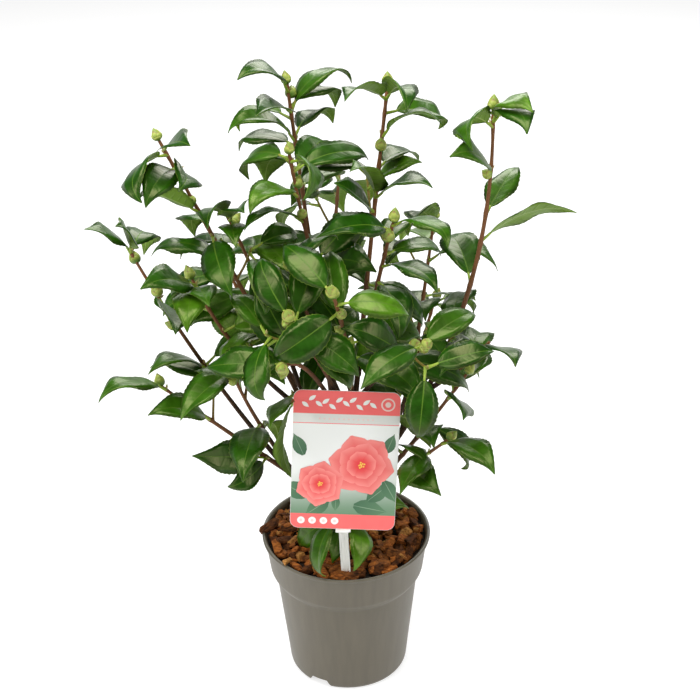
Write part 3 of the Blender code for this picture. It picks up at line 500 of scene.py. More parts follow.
# %% Chips as rounded boxes
CHIPS = 380
LOWER_CHIPS = 230                    # the others lie on top of them
UPPER_LIFT, WALL_LIFT = 2.8 * MM, 1.2 * MM
CHIP_LENGTH = (9, 19)                # in mm
CHIP_WIDTH, CHIP_THICKNESS = (0.38, 0.72), (0.22, 0.46)      # shares of the length
CHIP_BLUNTNESS = (0.30, 0.62)
CHIP_ROWS, CHIP_COLUMNS = 5, 8
# chips placed one by one, two on the rim and the others beside the wall: place and size in mm, then
# yaw, pitch and roll in radians
PLACED_CHIPS = (((-69.0, 2.0, 143.5), (19, 9, 6.5), (0.15, -0.60, 0.3)),
                ((-51.0, -46.0, 141.0), (11, 5, 3.5), (0.9, 0.15, 0.2)),
                ((-61.0, -21.0, 138.5), (18, 9, 6.0), (-1.3, 0.15, 0.3)),
                ((-65.0, -8.0, 137.5), (14, 8, 6.0), (-1.4, -0.20, -0.2)),
                ((9.0, -61.5, 138.0), (16, 8, 5.5), (0.15, 0.10, 0.3)),
                ((-8.0, -63.0, 137.5), (13, 7, 5.0), (-0.1, -0.15, 0.2)))
chip_draw = np.random.default_rng(11)


def signed_power(value, power):
    """The size of the value raised to a power, with the value's own sign."""
    return np.sign(value) * np.abs(value) ** power


def rounded_boxes(sizes, bluntness, rows, columns):
    """Points of many rounded boxes: x = a cos(v)^e cos(u)^e, y = b cos(v)^e sin(u)^e, z = c sin(v)^e.

    The first and last row draw together to small caps, which end faces close.
    """
    v = np.linspace(-0.42 * np.pi, 0.42 * np.pi, rows)[:, None]
    u = np.linspace(0, 2 * np.pi, columns, endpoint=False)[None]
    e = bluntness[:, None, None]
    x = signed_power(np.cos(v), e) * signed_power(np.cos(u), e)
    y = signed_power(np.cos(v), e) * signed_power(np.sin(u), e)
    z = signed_power(np.sin(v), e)
    return spread(x, y, z) * (sizes / 2)[:, None, None, :]


def turned_by(yaw, pitch, roll):
    """Rotation matrices: roll about X, then pitch about Y, then yaw about Z."""
    cy, sy, cp, sp, cr, sr = (f(a) for a in (yaw, pitch, roll) for f in (np.cos, np.sin))
    return np.stack([spread(cy * cp, cy * sp * sr - sy * cr, cy * sp * cr + sy * sr),
                     spread(sy * cp, sy * sp * sr + cy * cr, sy * sp * cr - cy * sr),
                     spread(-sp, cp * sr, cp * cr)], -2)


length = chip_draw.uniform(*CHIP_LENGTH, CHIPS) * MM
sizes = spread(length, length * chip_draw.uniform(*CHIP_WIDTH, CHIPS),
               length * chip_draw.uniform(*CHIP_THICKNESS, CHIPS))
chips = rounded_boxes(sizes, chip_draw.uniform(*CHIP_BLUNTNESS, CHIPS), CHIP_ROWS, CHIP_COLUMNS)
waves = chip_draw.uniform(150, 420, (CHIPS, 3, 3)) * chip_draw.choice((-1, 1), (CHIPS, 3, 3))
phases = chip_draw.uniform(0, 6.3, (CHIPS, 1, 1, 3))
chips = chips * (1 + 0.22 * np.sin(np.einsum("nrci,nij->nrcj", chips, waves) + phases))
taper = 1 - chip_draw.uniform(0, 0.45, (CHIPS, 1, 1)) * (chips[..., 0] / (length[:, None, None] / 2) + 1) / 2
chips[..., 1] *= taper
reach = BED_RADIUS - length * 0.30
place_radius = np.sqrt(chip_draw.uniform((9 * MM) ** 2, reach ** 2))
place_turn = chip_draw.uniform(0, 2 * np.pi, CHIPS)
beside_wall = place_radius > BED_RADIUS - length * 0.55
along_wall = place_turn + np.pi / 2 + chip_draw.normal(0, 0.25, CHIPS)
yaw = np.where(beside_wall, along_wall, chip_draw.uniform(0, 2 * np.pi, CHIPS))
pitch, roll = chip_draw.normal(0, 0.42, (2, CHIPS))
lift = np.where(np.arange(CHIPS) < LOWER_CHIPS, 0.0, UPPER_LIFT) + chip_draw.uniform(-1.0, 1.6, CHIPS) * MM
lift = lift + np.where(beside_wall, WALL_LIFT, 0.0)
centres = spread(place_radius * np.cos(place_turn), place_radius * np.sin(place_turn),
                 heap(place_radius) + lift)
for number, (place, size, turn_of) in enumerate(PLACED_CHIPS):
    chips[number] *= np.array(size) * MM / sizes[number]
    centres[number] = np.array(place) * MM
    yaw[number], pitch[number], roll[number] = turn_of
spin = turned_by(yaw, pitch, roll)
chips = np.einsum("nij,nrcj->nrci", spin, chips) + centres[:, None, None, :]
print(CHIPS, "chips", chips[..., 2].max().round(4), "m up at most")

# %% [markdown]
# ### Splintered bark
# Bark breaks along its fibres. The finish is a fine noise drawn out one way for the fibres, a coarser
# one for the light and dark layers, and four base colours dealt out chip by chip.

# %% The chips' finishes
def bark_chip(name, dark, light):
    """Fibrous bark between two colours."""
    made = Finish(name, light, 0.82, Specular_IOR_Level=0.18)
    fibres = made.noise(1.0, 4.0, made.stretched(260, 900, 500))
    layers = made.noise(160, 3.0)
    made.feed(Base_Color=made.blend((fibres * 0.6 + layers * 0.4).step(0.34, 0.64), dark, light))
    return made.relief(fibres * 0.6 + layers * 0.4, 0.0011)


CHIP_FINISHES = (bark_chip("chip_red_brown", (0.105, 0.027, 0.005), (0.450, 0.140, 0.026)),
                 bark_chip("chip_brown", (0.068, 0.021, 0.005), (0.300, 0.100, 0.022)),
                 bark_chip("chip_tan", (0.175, 0.066, 0.015), (0.570, 0.265, 0.070)),
                 bark_chip("chip_dark", (0.027, 0.009, 0.003), (0.135, 0.043, 0.011)))

# %% Put the bed and the chips together
CHIP_SHARES = (0.36, 0.30, 0.12, 0.22)       # of the chips that have each finish
finish_of = 1 + chip_draw.choice(len(CHIP_FINISHES), CHIPS, p=CHIP_SHARES)
points, faces, ends = closed_tubes(bed, chips)
chip_quads = (CHIP_ROWS - 1) * CHIP_COLUMNS
kinds = np.concatenate([np.zeros(BED_RINGS * BED_SIDES), np.repeat(finish_of, chip_quads),
                        np.zeros(2), np.tile(finish_of, 2)])
mulch = make_piece("bark_chips", points, faces, [finish.material for finish in (soil, *CHIP_FINISHES)],
                   kinds, smooth=False, ends=ends)
finish_piece(mulch, "bark_mulch", "bark_mulch")

# %% [markdown]
# ## The plant label
# The label is a plastic card with round corners on a white stake. Its print could be a drawing in the
# shader, but flat shapes laid a fraction of a millimetre over the card keep crisp edges at any
# distance. The design is a plain one: coral bands, a garland of white leaves, and a pale panel with two
# blossoms. Every petal is the same small formula, a rounded blade swept round the blossom's middle,
# with its colour running from deep coral at the heart to pale pink at its edge.

# %% The card's own plane
CARD_WIDTH, CARD_HEIGHT, CARD_THICKNESS, CARD_ROUND = 88.5 * MM, 124.5 * MM, 0.8 * MM, 7 * MM
CARD_FOOT = (-3.2 * MM, -60.5 * MM, 184.5 * MM)
CARD_LEAN = math.radians(10.5)       # its top leans back
CARD_TURN = math.radians(3.2)        # and is turned to the right


def card_axes():
    """The label's own ways: to its right, up its face and out from it."""
    rise = np.array((0.0, math.sin(CARD_LEAN), math.cos(CARD_LEAN)))
    right = np.array((1.0, 0.0, 0.0))
    return np.array((math.cos(CARD_TURN) * right - math.sin(CARD_TURN) * rise,
                     math.cos(CARD_TURN) * rise + math.sin(CARD_TURN) * right, np.cross(right, rise)))


def on_card(right, up, out):
    """Places so far right of the card's middle line, up from its lower edge and out from its face."""
    return np.array(CARD_FOOT) + spread(right, up, out) @ card_axes()


def round_rectangle(left, low, right, high, radii, steps=7):
    """Outline of a rectangle with round corners, each a quarter circle; radii run from the lower left."""
    outline = []
    corners = ((left, low, 180), (right, low, 270), (right, high, 0), (left, high, 90))
    for (x, y, begin), radius in zip(corners, radii):
        turn = np.radians(begin + np.linspace(0, 90, steps if radius > 0 else 1))
        inward = np.array((1 if x == left else -1, 1 if y == low else -1)) * radius
        outline.append(spread(x + inward[0] + radius * np.cos(turn), y + inward[1] + radius * np.sin(turn)))
    return np.concatenate(outline)


class Print:
    """Flat shapes gathered for one mesh, each at its own small height over the card."""

    def __init__(self):
        self.points, self.quads, self.ends, self.kinds, self.end_kinds, self.across = [], [], [], [], [], []
        self.count = 0

    def add(self, xy, out, kind, faces=None, across=None):
        """A filled outline, or a grid with its faces and each point's place in the UV map."""
        xy = np.asarray(xy)
        self.points.append(on_card(xy[:, 0], xy[:, 1], out))
        self.across.append(np.full((len(xy), 2), 0.5) if across is None else across)
        if faces is None:
            self.ends.append(tuple(range(self.count, self.count + len(xy))))
            self.end_kinds.append(kind)
        else:
            self.quads.append(faces + self.count)
            self.kinds += [kind] * len(faces)
        self.count += len(xy)


# %% The card itself
card_plastic = Finish("card_plastic", (0.80, 0.79, 0.76), 0.30, Coat_Weight=0.25, Coat_Roughness=0.25)
card_plastic.relief(card_plastic.noise(700, 2.0), 0.00004)
CARD_BEVEL = 0.12 * MM
outline = round_rectangle(-CARD_WIDTH / 2, 0, CARD_WIDTH / 2, CARD_HEIGHT, (CARD_ROUND,) * 4)
middle = np.array((0.0, CARD_HEIGHT / 2))
rims = []
for depth, inset in ((1, CARD_BEVEL), (7 / 8, 0), (1 / 8, 0), (0, CARD_BEVEL)):
    drawn = middle + (outline - middle) * (1 - inset / (CARD_WIDTH / 2))
    rims.append(on_card(drawn[:, 0], drawn[:, 1], -depth * CARD_THICKNESS))
points, faces, ends = closed_tubes(np.array(rims)[None])
card = make_piece("plant_label", points, faces, [card_plastic.material], ends=ends)
card.data.set_sharp_from_angle(angle=math.radians(40))
finish_piece(card, "label_card", "label_card")

# %% Petals, leaves and discs of the print
PETAL_ROWS, PETAL_COLUMNS = 10, 7
PETAL_FACES = grid_faces(PETAL_ROWS, PETAL_COLUMNS)[:, ::-1]
BLOSSOM_RINGS = ((6, 1.0, 0.50), (5, 0.74, 0.42), (4, 0.46, 0.32))     # petals, their reach and width
CORAL, WHITE, PANEL, PETAL, LEAF, HEART, BLUSH = range(7)


def disc(middle, radius, sides=28):
    """Outline of a disc."""
    turn = np.linspace(0, 2 * np.pi, sides, endpoint=False)
    return spread(middle[0] + radius * np.cos(turn), middle[1] + radius * np.sin(turn))


def petal(middle, turn, length, width, bluntness):
    """A petal as a grid: at share s of its length its half width is width * sin(pi s^b)^(0.65 / b).

    The bluntness b moves the widest place towards the tip and rounds it.
    """
    s = np.sin(np.linspace(0.03, np.pi / 2, PETAL_ROWS))[:, None]
    t = np.linspace(-1, 1, PETAL_COLUMNS)[None]
    half = width * np.sin(np.pi * np.minimum(s ** bluntness, 0.985)) ** (0.65 / bluntness)
    x, y = half * t, s * length * (1 - 0.10 * t ** 2 * s)
    cosine, sine = math.cos(turn), math.sin(turn)
    spun = spread(middle[0] + x * cosine - y * sine, middle[1] + x * sine + y * cosine).reshape(-1, 2)
    return spun, spread(s, (t + 1) / 2).reshape(-1, 2)


def blossom(print_on, middle, size, start, out):
    """Three rings of petals, wide ones outside, and a heart of small dots."""
    for ring_number, (petals, reach, wide) in enumerate(BLOSSOM_RINGS):
        for number in range(petals):
            turn = start + 2 * math.pi * (number + 0.5 * (ring_number % 2)) / petals
            xy, across = petal(middle, turn, size * reach, size * wide * 0.86, 1.65)
            level = out + (ring_number * 6 + number) * 0.006 * MM
            print_on.add(xy, level, PETAL, PETAL_FACES, across)
    for number in range(9):
        turn, far = number * 2.4, size * 0.035 * math.sqrt(number)
        centre = middle[0] + far * math.cos(turn), middle[1] + far * math.sin(turn)
        print_on.add(disc(centre, size * 0.028, 8), out + 0.12 * MM + number * 0.002 * MM, HEART)


# %% The label's design
MARGIN, LINE = 0.25 * MM, 0.3 * MM           # bare edge, and half the thickness of the thin line
HALF = CARD_WIDTH / 2 - MARGIN
HEADER, STRIP, FOOTER = 104.0 * MM, 95.5 * MM, 13.5 * MM
SQUARE, CORNER = (0, 0), (CARD_ROUND - MARGIN,) * 2
# lower and upper edge, the lower and upper corners' rounding, height over the card, ink
BANDS = ((HEADER, CARD_HEIGHT - MARGIN, (*SQUARE, *CORNER), 0.020 * MM, CORAL),
         (MARGIN, FOOTER, (*CORNER, *SQUARE), 0.020 * MM, CORAL),
         (STRIP - LINE, STRIP + LINE, (*SQUARE, *SQUARE), 0.020 * MM, CORAL),
         (FOOTER, STRIP - LINE, (*SQUARE, *SQUARE), 0.015 * MM, PANEL))
# foot of each leaf behind the blossoms in mm, its turn in degrees and its length in mm
PRINTED_LEAVES = ((-27, 30, 70, 30), (-12, 27, 128, 26), (8, 22, -100, 30), (33, 46, -150, 24),
                  (-34, 66, 25, 22), (20, 26, -48, 26), (-6, 30, 178, 14), (34, 70, -20, 19))
RING_PLACE = (34 * MM, 113.5 * MM)

print_on = Print()
for low, high, corners, level, ink in BANDS:
    print_on.add(round_rectangle(-HALF, low, HALF, high, corners), level, ink)
for start_x, start_y, turn, length in PRINTED_LEAVES:
    start = start_x * MM, start_y * MM
    xy, across = petal(start, math.radians(turn), length * MM, length * 0.26 * MM, 0.85)
    inside = np.clip(xy, (-HALF, FOOTER), (HALF, STRIP - 0.4 * MM))
    print_on.add(inside, (0.03 + 0.0004 * start_y) * MM, LEAF, PETAL_FACES, across)
blossom(print_on, (14 * MM, 59 * MM), 28 * MM, 0.35, 0.10 * MM)
blossom(print_on, (-20 * MM, 41 * MM), 21 * MM, 0.9, 0.26 * MM)
for number in range(4):
    x, y = (-35 + 9.5 * number) * MM, 7.2 * MM
    print_on.add(disc((x, y), 3.2 * MM), 0.04 * MM, WHITE)
    print_on.add(disc((x, y), 1.3 * MM), 0.06 * MM, BLUSH)
for number in range(11):
    x, y = (-37 + 5.6 * number) * MM, (114 + 1.6 * math.sin(number * 1.3)) * MM
    slope = math.radians(-90 + (38 if number % 2 else -38))
    xy, across = petal((x, y), slope, 7.5 * MM, 1.7 * MM, 0.9)
    print_on.add(xy, (0.03 + 0.002 * number) * MM, WHITE, PETAL_FACES, across)
for radius, level, ink in ((5.8, 0.04, BLUSH), (4.6, 0.06, CORAL), (2.4, 0.08, BLUSH)):
    print_on.add(disc(RING_PLACE, radius * MM), level * MM, ink)
for number in range(12):
    print_on.add(disc(((-22 + 4.0 * number) * MM, 99.6 * MM), 0.8 * MM, 10), 0.04 * MM, BLUSH)

# %% Printed inks
coral_ink = Finish("coral_ink", (0.94, 0.155, 0.150), 0.34)
coral_ink.feed(Base_Color=coral_ink.blend(coral_ink.noise(90, 2.0),
                                          (0.93, 0.125, 0.120), (0.97, 0.155, 0.150)))
white_ink = Finish("white_ink", (0.92, 0.91, 0.88), 0.34)
panel_ink = Finish("panel_ink", (0.74, 0.77, 0.76), 0.34)
up = panel_ink.parts(panel_ink.place())[2]
panel_ink.feed(Base_Color=panel_ink.blend(up.step(0.197, 0.247), (0.14, 0.26, 0.15), (0.90, 0.91, 0.89)))
petal_ink = Finish("petal_ink", (0.93, 0.25, 0.24), 0.36)
along, side = petal_ink.across()
edge = (side - 0.5).size() * 1.2
petal_ink.feed(Base_Color=petal_ink.blend((along ** 1.4 * 0.75 + edge * along * 0.6).step(0.0, 1.0),
                                          (0.78, 0.030, 0.035), (0.95, 0.29, 0.26)))
leaf_ink = Finish("leaf_ink", (0.07, 0.19, 0.10), 0.36)
along, side = leaf_ink.across()
rib = 1.0 - ((side - 0.5).size() * 30).step(0.0, 1.0)
blade_colour = leaf_ink.blend(along, (0.040, 0.130, 0.060), (0.10, 0.22, 0.11))
leaf_ink.feed(Base_Color=leaf_ink.blend(rib * 0.7, blade_colour, (0.36, 0.50, 0.34)))
heart_ink = Finish("heart_ink", (0.95, 0.60, 0.08), 0.36)
blush_ink = Finish("blush_ink", (0.90, 0.66, 0.62), 0.36)
inks = [finish.material
        for finish in (coral_ink, white_ink, panel_ink, petal_ink, leaf_ink, heart_ink, blush_ink)]
artwork = make_piece("label_print", np.concatenate(print_on.points), np.concatenate(print_on.quads), inks,
                     print_on.kinds + print_on.end_kinds, np.concatenate(print_on.across), smooth=False,
                     ends=print_on.ends)
finish_piece(artwork, "label_card")

# %% [markdown]
# ### The stake
# A label stake is a shallow white channel: two ribs along its edges stiffen it, and a short bar under
# the card grips it. The channel is one cross-section carried along the stake's leaning line.

# %% Carry a cross-section along a line
STAKE_LINE = ((1.2, -56.0, 84.0), (-0.4, -62.0, 135.0), (-2.2, -58.5, 184.5), (-3.0, -53.6, 210.0))
STAKE_WIDTH, STAKE_THICKNESS = 8 * MM, 1.4 * MM


def carried(section, line):
    """Rings of points: a level section (x, y) set at each point of a line."""
    return line[:, None] + spread(section[:, 0], section[:, 1], 0.0)[None]


half, thick = STAKE_WIDTH / 2, STAKE_THICKNESS / 2
channel = np.array([(-half, thick), (-half, -thick), (-half + 0.3 * MM, -thick - 0.3 * MM),
                    (-half + 1.3 * MM, -thick - 0.3 * MM), (-half + 1.8 * MM, -thick + 0.5 * MM),
                    (-0.5 * MM, -thick + 0.5 * MM), (-0.25 * MM, -thick + 0.2 * MM),
                    (0.25 * MM, -thick + 0.2 * MM), (0.5 * MM, -thick + 0.5 * MM),
                    (half - 1.8 * MM, -thick + 0.5 * MM), (half - 1.3 * MM, -thick - 0.3 * MM),
                    (half - 0.3 * MM, -thick - 0.3 * MM), (half, -thick), (half, thick)])
white_plastic = Finish("white_plastic", (0.88, 0.87, 0.83), 0.33)
white_plastic.relief(white_plastic.noise(1.0, 2.0, white_plastic.stretched(900, 900, 60)), 0.00008)
share = np.linspace(0, 1, 13)
knots = np.linspace(0, 1, len(STAKE_LINE))
line = spread(*(np.interp(share, knots, column) for column in np.array(STAKE_LINE).T)) * MM
BAR_SIZE, BAR_BLUNTNESS = (13 * MM, 3.4 * MM, 2.6 * MM), 0.25
bar = rounded_boxes(np.array([BAR_SIZE]), np.array([BAR_BLUNTNESS]), 6, 12)
bar = bar + on_card(1.0 * MM, -1.5 * MM, -0.2 * MM)
points, faces, ends = closed_tubes(carried(channel, line)[None], bar)
stake = make_piece("ribbed_stake", points, faces, [white_plastic.material], ends=ends)
stake.data.set_sharp_from_angle(angle=math.radians(35))
finish_piece(stake, "label_stake", "label_stake")

# %% [markdown]
# ## How the shrub grows
# A camellia sends up several shoots from a short trunk. Leaves leave each shoot one by one, every next
# one turned on by about 137.5 degrees, so that none shades the one below. Their stalks slope up along
# the shoot, and their upper faces turn to the light. Buds stand at the tips and in the angles of the
# leaves. Written as a rule with a seed for each shoot, this gives the same plant every time. A new leaf
# is kept only where it crosses nothing, which is tested with trees of the faces that are already there.

# %% The shoots
TRUNK = ((0.0, 0.0, 138.3), (1.0, -1.0, 163.0), (2.0, -2.0, 188.0))
TRUNK_FLARE, TRUNK_RADIUS, FLARE_HEIGHT = 9.5 * MM, 6.0 * MM, 0.30
BOUGH_RADIUS, BRANCH_RADIUS, TIP_RADIUS = 3.0 * MM, 2.3 * MM, 1.2 * MM
TWIG_RADIUS, TWIG_LENGTH, TWIG_TAPER, TWIG_SIDES = 1.1 * MM, (32 * MM, 55 * MM), 0.8, 3
LEAF_LENGTH, LEAF_WIDTH, LEAF_CURL = (52 * MM, 69 * MM), (0.43, 0.52), (0.6, 1.5)
LEAF_THICKNESS, STALK_LENGTH, STALK_RADIUS, HELD_STALK = 1.0 * MM, (6 * MM, 10 * MM), 1.1 * MM, 9 * MM
BUD_LENGTH, BUD_WIDTH, BUD_SINK, BUD_RISE = (11 * MM, 14.5 * MM), (0.62, 0.74), 2 * MM, 0.15
BUD_OPENING, BUD_TOP, BUD_STEP = 0.35, 0.95, 0.19
READER, READING_SHARE = (6 * MM, -1150 * MM, 975 * MM), 0.12     # the label is kept open to this eye
GAP = 0.3 * MM

# name: what it leaves and at which share of that, its bend and tip in mm, the share of it where the
# foliage starts, then how many leaves, twigs and bud places it has, and its seed
SHOOTS = {
    "left": ("trunk", 0.50, (-62, -14, 222), (-151, -30, 311), 0.47, 1, 1, 3, 31),
    "upper_left": ("trunk", 0.80, (-34, -12, 290), (-136, -30, 528), 0.50, 4, 1, 4, 1),
    "right": ("trunk", 0.66, (128, -5, 338), (120, 0, 536), 0.42, 0, 0, 3, 7),
    "back_left": ("trunk", 0.68, (-18, 44, 330), (-40, 50, 542), 0.50, 3, 0, 2, 10),
    "centre": ("trunk", 1.00, (14, -6, 330), (40, 30, 547), 0.50, 4, 1, 3, 24),
    "front": ("trunk", 0.58, (16, -16, 312), (-6, -90, 424), 0.52, 10, 1, 5, 1),
    "right_low": ("trunk", 0.42, (40, -24, 215), (103, -30, 318), 0.40, 3, 0, 1, 37),
    "card_left": ("front", 0.24, (-24, -16, 268), (-42, -30, 302), 0.42, 3, 0, 1, 31),
    "card_right": ("right_low", 0.22, (40, -26, 248), (46, -30, 302), 0.40, 3, 0, 1, 18),
    "far_left": ("left", 0.36, (-118, -8, 310), (-169, 0, 418), 0.30, 2, 1, 4, 4),
    "left_inner": ("left", 0.30, (-74, -38, 275), (-93, -50, 345), 0.35, 3, 1, 3, 21),
    "left_side": ("upper_left", 0.34, (-90, -40, 340), (-118, -34, 412), 0.40, 4, 0, 1, 10),
    "mid_left": ("upper_left", 0.27, (-60, 8, 370), (-89, 0, 448), 0.40, 5, 0, 2, 14),
    "front_left": ("front", 0.34, (-20, -34, 342), (-40, -90, 404), 0.42, 8, 1, 4, 34),
    "front_low": ("front", 0.28, (-30, -28, 346), (-46, -98, 364), 0.45, 7, 0, 2, 17),
    "front_right": ("front", 0.42, (42, -38, 342), (65, -80, 372), 0.40, 6, 1, 3, 24),
    "inner": ("centre", 0.28, (-24, -4, 400), (-38, -10, 507), 0.42, 3, 1, 4, 7),
    "inner_front": ("centre", 0.22, (-22, -40, 350), (-38, -50, 432), 0.45, 7, 0, 2, 25),
    "inner_right": ("centre", 0.36, (30, -12, 400), (43, -20, 452), 0.40, 3, 0, 3, 4),
    "right_side": ("right", 0.33, (100, -24, 318), (120, -30, 346), 0.35, 2, 0, 0, 32),
    "low_side": ("right_low", 0.26, (58, -38, 234), (88, -40, 260), 0.40, 1, 0, 1, 14),
    "back_right": ("right", 0.22, (66, 60, 300), (82, 102, 398), 0.42, 7, 1, 2, 9),
    "back_mid": ("back_left", 0.28, (-12, 80, 340), (2, 118, 452), 0.42, 8, 1, 2, 33),
    "back_low": ("back_left", 0.20, (-60, 66, 270), (-104, 84, 372), 0.42, 9, 1, 1, 28),
    "back_low_right": ("right", 0.16, (60, 70, 250), (84, 104, 318), 0.45, 8, 1, 1, 16),
    "base_front": ("trunk", 0.30, (8, -26, 178), (-8, -44, 184), 0.35, 2, 0, 0, 31),
}

# Leaves that stand out of the crown: share of the shoot, turn round it in degrees (0 left, 90 front,
# 180 right, 270 back), slope from it in degrees, blade length in mm, curl in radians, and how far the
# blade is rolled from facing the light, in degrees
HELD = {
    "left": ((0.97, 105, 20, 65, 1.1, 0), (0.77, 120, 25, 59, 0.9, -35),
             (0.49, 80, 70, 45, 1.3, -80), (0.49, 65, 30, 65, 0.1, -55)),
    "upper_left": ((0.98, 120, 65, 60, 0.3, 10), (0.97, 75, 60, 63, 1.2, 50),
                   (0.94, 120, 75, 60, 0.6, -75), (0.86, 60, 35, 61, 0.1, 30),
                   (0.75, 340, 30, 64, 1.3, 20), (0.81, 95, 90, 57, 0.9, 15)),
    "right": ((0.97, 105, 30, 59, 1.4, 15), (0.97, 120, 45, 59, 1.3, -25),
              (0.96, 40, 50, 64, 1.7, 60), (0.87, 65, 50, 60, 0.5, -35),
              (0.77, 245, 65, 61, 0.1, -5), (0.71, 200, 45, 75, 0.9, -60),
              (0.61, 285, 65, 69, 0.7, 0), (0.49, 280, 60, 67, 1.4, -35)),
    "back_left": ((0.98, 70, 30, 58, 1.3, -15), (0.94, 200, 30, 65, 1.7, -20),
                  (0.94, 75, 60, 60, 0.4, -20), (0.95, 225, 65, 65, 1.7, 0),
                  (0.89, 240, 60, 61, 1.4, -15), (0.88, 40, 30, 62, 1.5, 5),
                  (0.87, 325, 70, 60, 0.9, 10)),
    "centre": ((0.97, 55, 65, 61, 0.6, 25), (0.97, 105, 50, 61, 1.3, -20),
               (0.90, 135, 35, 59, 1.3, -15), (0.84, 240, 70, 61, 0.9, -10),
               (0.78, 125, 50, 61, 0.5, 5), (0.78, 75, 40, 61, 0.6, -25),
               (0.75, 55, 55, 59, 0.1, -35)),
    "right_low": ((0.87, 85, 50, 60, 0.6, -30), (0.93, 250, 75, 61, 0.1, -20),
                  (0.65, 60, 35, 58, 1.0, 15)),
    "card_left": ((0.97, 75, 50, 50, 0.3, 10), (0.92, 15, 120, 71, 0.8, 50)),
    "card_right": ((0.77, 220, 120, 46, 1.2, -60), (0.46, 145, 45, 45, 0.8, -45),
                   (1.00, 110, 45, 59, 1.2, -15)),
    "far_left": ((1.00, 105, 40, 58, 0.6, -50), (1.00, 250, 75, 66, 1.7, 20),
                 (1.00, 125, 50, 59, 0.3, -80), (0.81, 110, 95, 59, 0.1, -55),
                 (0.50, 85, 30, 62, 1.0, 0), (0.50, 130, 70, 59, 0.6, -20)),
    "left_inner": ((0.67, 100, 20, 66, 1.3, -35), (1.00, 90, 30, 60, 0.8, 5),
                   (0.46, 255, 120, 43, 1.5, 0)),
    "left_side": ((0.95, 85, 50, 60, 0.6, -35), (0.93, 95, 70, 55, 1.1, -5)),
    "mid_left": ((1.00, 85, 35, 60, 1.1, 20), (0.98, 120, 55, 59, 0.2, -5)),
    "inner": ((0.97, 330, 75, 63, 1.7, -10), (0.95, 295, 90, 62, 1.2, 15),
              (0.82, 60, 40, 60, 1.2, 5), (0.92, 200, 75, 65, 1.0, 5),
              (0.72, 40, 40, 59, 1.0, 20), (0.96, 135, 70, 63, 1.6, -60)),
    "inner_right": ((0.95, 140, 40, 63, 1.1, -25), (0.72, 220, 80, 60, 0.7, -15),
                    (0.64, 135, 50, 61, 0.9, -20)),
    "right_side": ((0.93, 90, 45, 60, 0.3, -15),),
    "low_side": ((0.90, 85, 35, 62, 1.1, 0), (0.43, 75, 45, 58, 0.7, 50),
                 (0.49, 25, 40, 62, 1.0, 50)),
    "base_front": ((0.59, 130, 50, 54, 1.7, -55), (0.96, 25, 30, 53, 1.3, 25),
                   (0.43, 60, 45, 43, 1.5, 0)),
}
print(len(SHOOTS), "shoots")

# %% Directions and curved paths
UP = np.array((0.0, 0.0, 1.0))
LIGHT = np.array((0.0, -0.30, 0.95))       # what the upper face of a leaf turns to
GOLDEN = math.radians(137.5)               # turn from one leaf to the next up a shoot
TRIES = (0, 24, -24, 48, -48, 75, -75, 110, -110, 150, -150)
HELD_TRIES = (0, 6, -6, 12, -12, 18, -18)
LEAF_RINGS = ((0.0, 0.10), (0.30, 0.93), (0.66, 0.80))     # share of the blade, share of its width
BUD_RINGS = ((0.0, 0.35), (0.38, 1.0), (0.80, 0.60))
BUD_SIDES = 5


def unit(vector):
    """The vector at length 1."""
    return vector / np.linalg.norm(vector)


def place_on(path, share):
    """Point at a share of a quadratic Bezier path of foot, bend and tip."""
    foot, bend, tip = path
    return (1 - share) ** 2 * foot + 2 * share * (1 - share) * bend + share * share * tip


def heading(path, share):
    """Unit direction of the path there."""
    foot, bend, tip = path
    return unit((1 - share) * (bend - foot) + share * (tip - bend))


def square_to(way):
    """Two axes square to a way: for an upright one they point left and to the front."""
    left = unit(np.cross(way, (0.0, 1.0, 0.0)))
    return left, np.cross(way, left)


def shoot_paths():
    """Every shoot's path in metres, each leaving its parent where the table says."""
    paths = {"trunk": tuple(np.array(point) * MM for point in TRUNK)}
    for name, row in SHOOTS.items():
        parent, share, bend, tip = row[:4]
        paths[name] = (place_on(paths[parent], share), np.array(bend) * MM, np.array(tip) * MM)
    return paths


def shoot_radius(name, share):
    """Radius of a shoot, falling evenly from its foot to its tip."""
    foot = BOUGH_RADIUS if SHOOTS[name][0] == "trunk" else BRANCH_RADIUS
    return foot + (TIP_RADIUS - foot) * share


# %% Solids that stand for limbs, leaves and buds while room is tested
def circle(centre, way, radius, sides):
    """Points of a circle round a centre, square to a way."""
    left, front = square_to(way)
    return [centre + radius * (math.cos(turn) * left + math.sin(turn) * front)
            for turn in (2 * math.pi * side / sides for side in range(sides))]


def loft(points, sides, closed_by_point):
    """Faces of a stack of rings with a flat foot, ended by a last ring or by one point.

    The diagonals alternate from side to side, so a folded blade's two faces are split alike.
    """
    rings = len(points) // sides
    faces = [tuple(reversed(range(sides)))]
    for low in range(0, (rings - 1) * sides, sides):
        for side in range(sides):
            a, b = low + side, low + (side + 1) % sides
            c, d = b + sides, a + sides
            faces += [(a, b, c), (a, c, d)] if side % 2 == 0 else [(a, b, d), (b, c, d)]
    top = (rings - 1) * sides
    if closed_by_point:
        faces += [(top + side, top + (side + 1) % sides, len(points) - 1) for side in range(sides)]
    else:
        faces.append(tuple(top + side for side in range(sides)))
    return np.array(points), faces


def limb(path, start, end, radius_start, radius_end, sides, rings):
    """A tapering limb along a stretch of a path."""
    points = []
    for step in range(rings + 1):
        share = step / rings
        along = start + (end - start) * share
        radius = radius_start + (radius_end - radius_start) * share
        points += circle(place_on(path, along), heading(path, along), radius, sides)
    return loft(points, sides, closed_by_point=False)


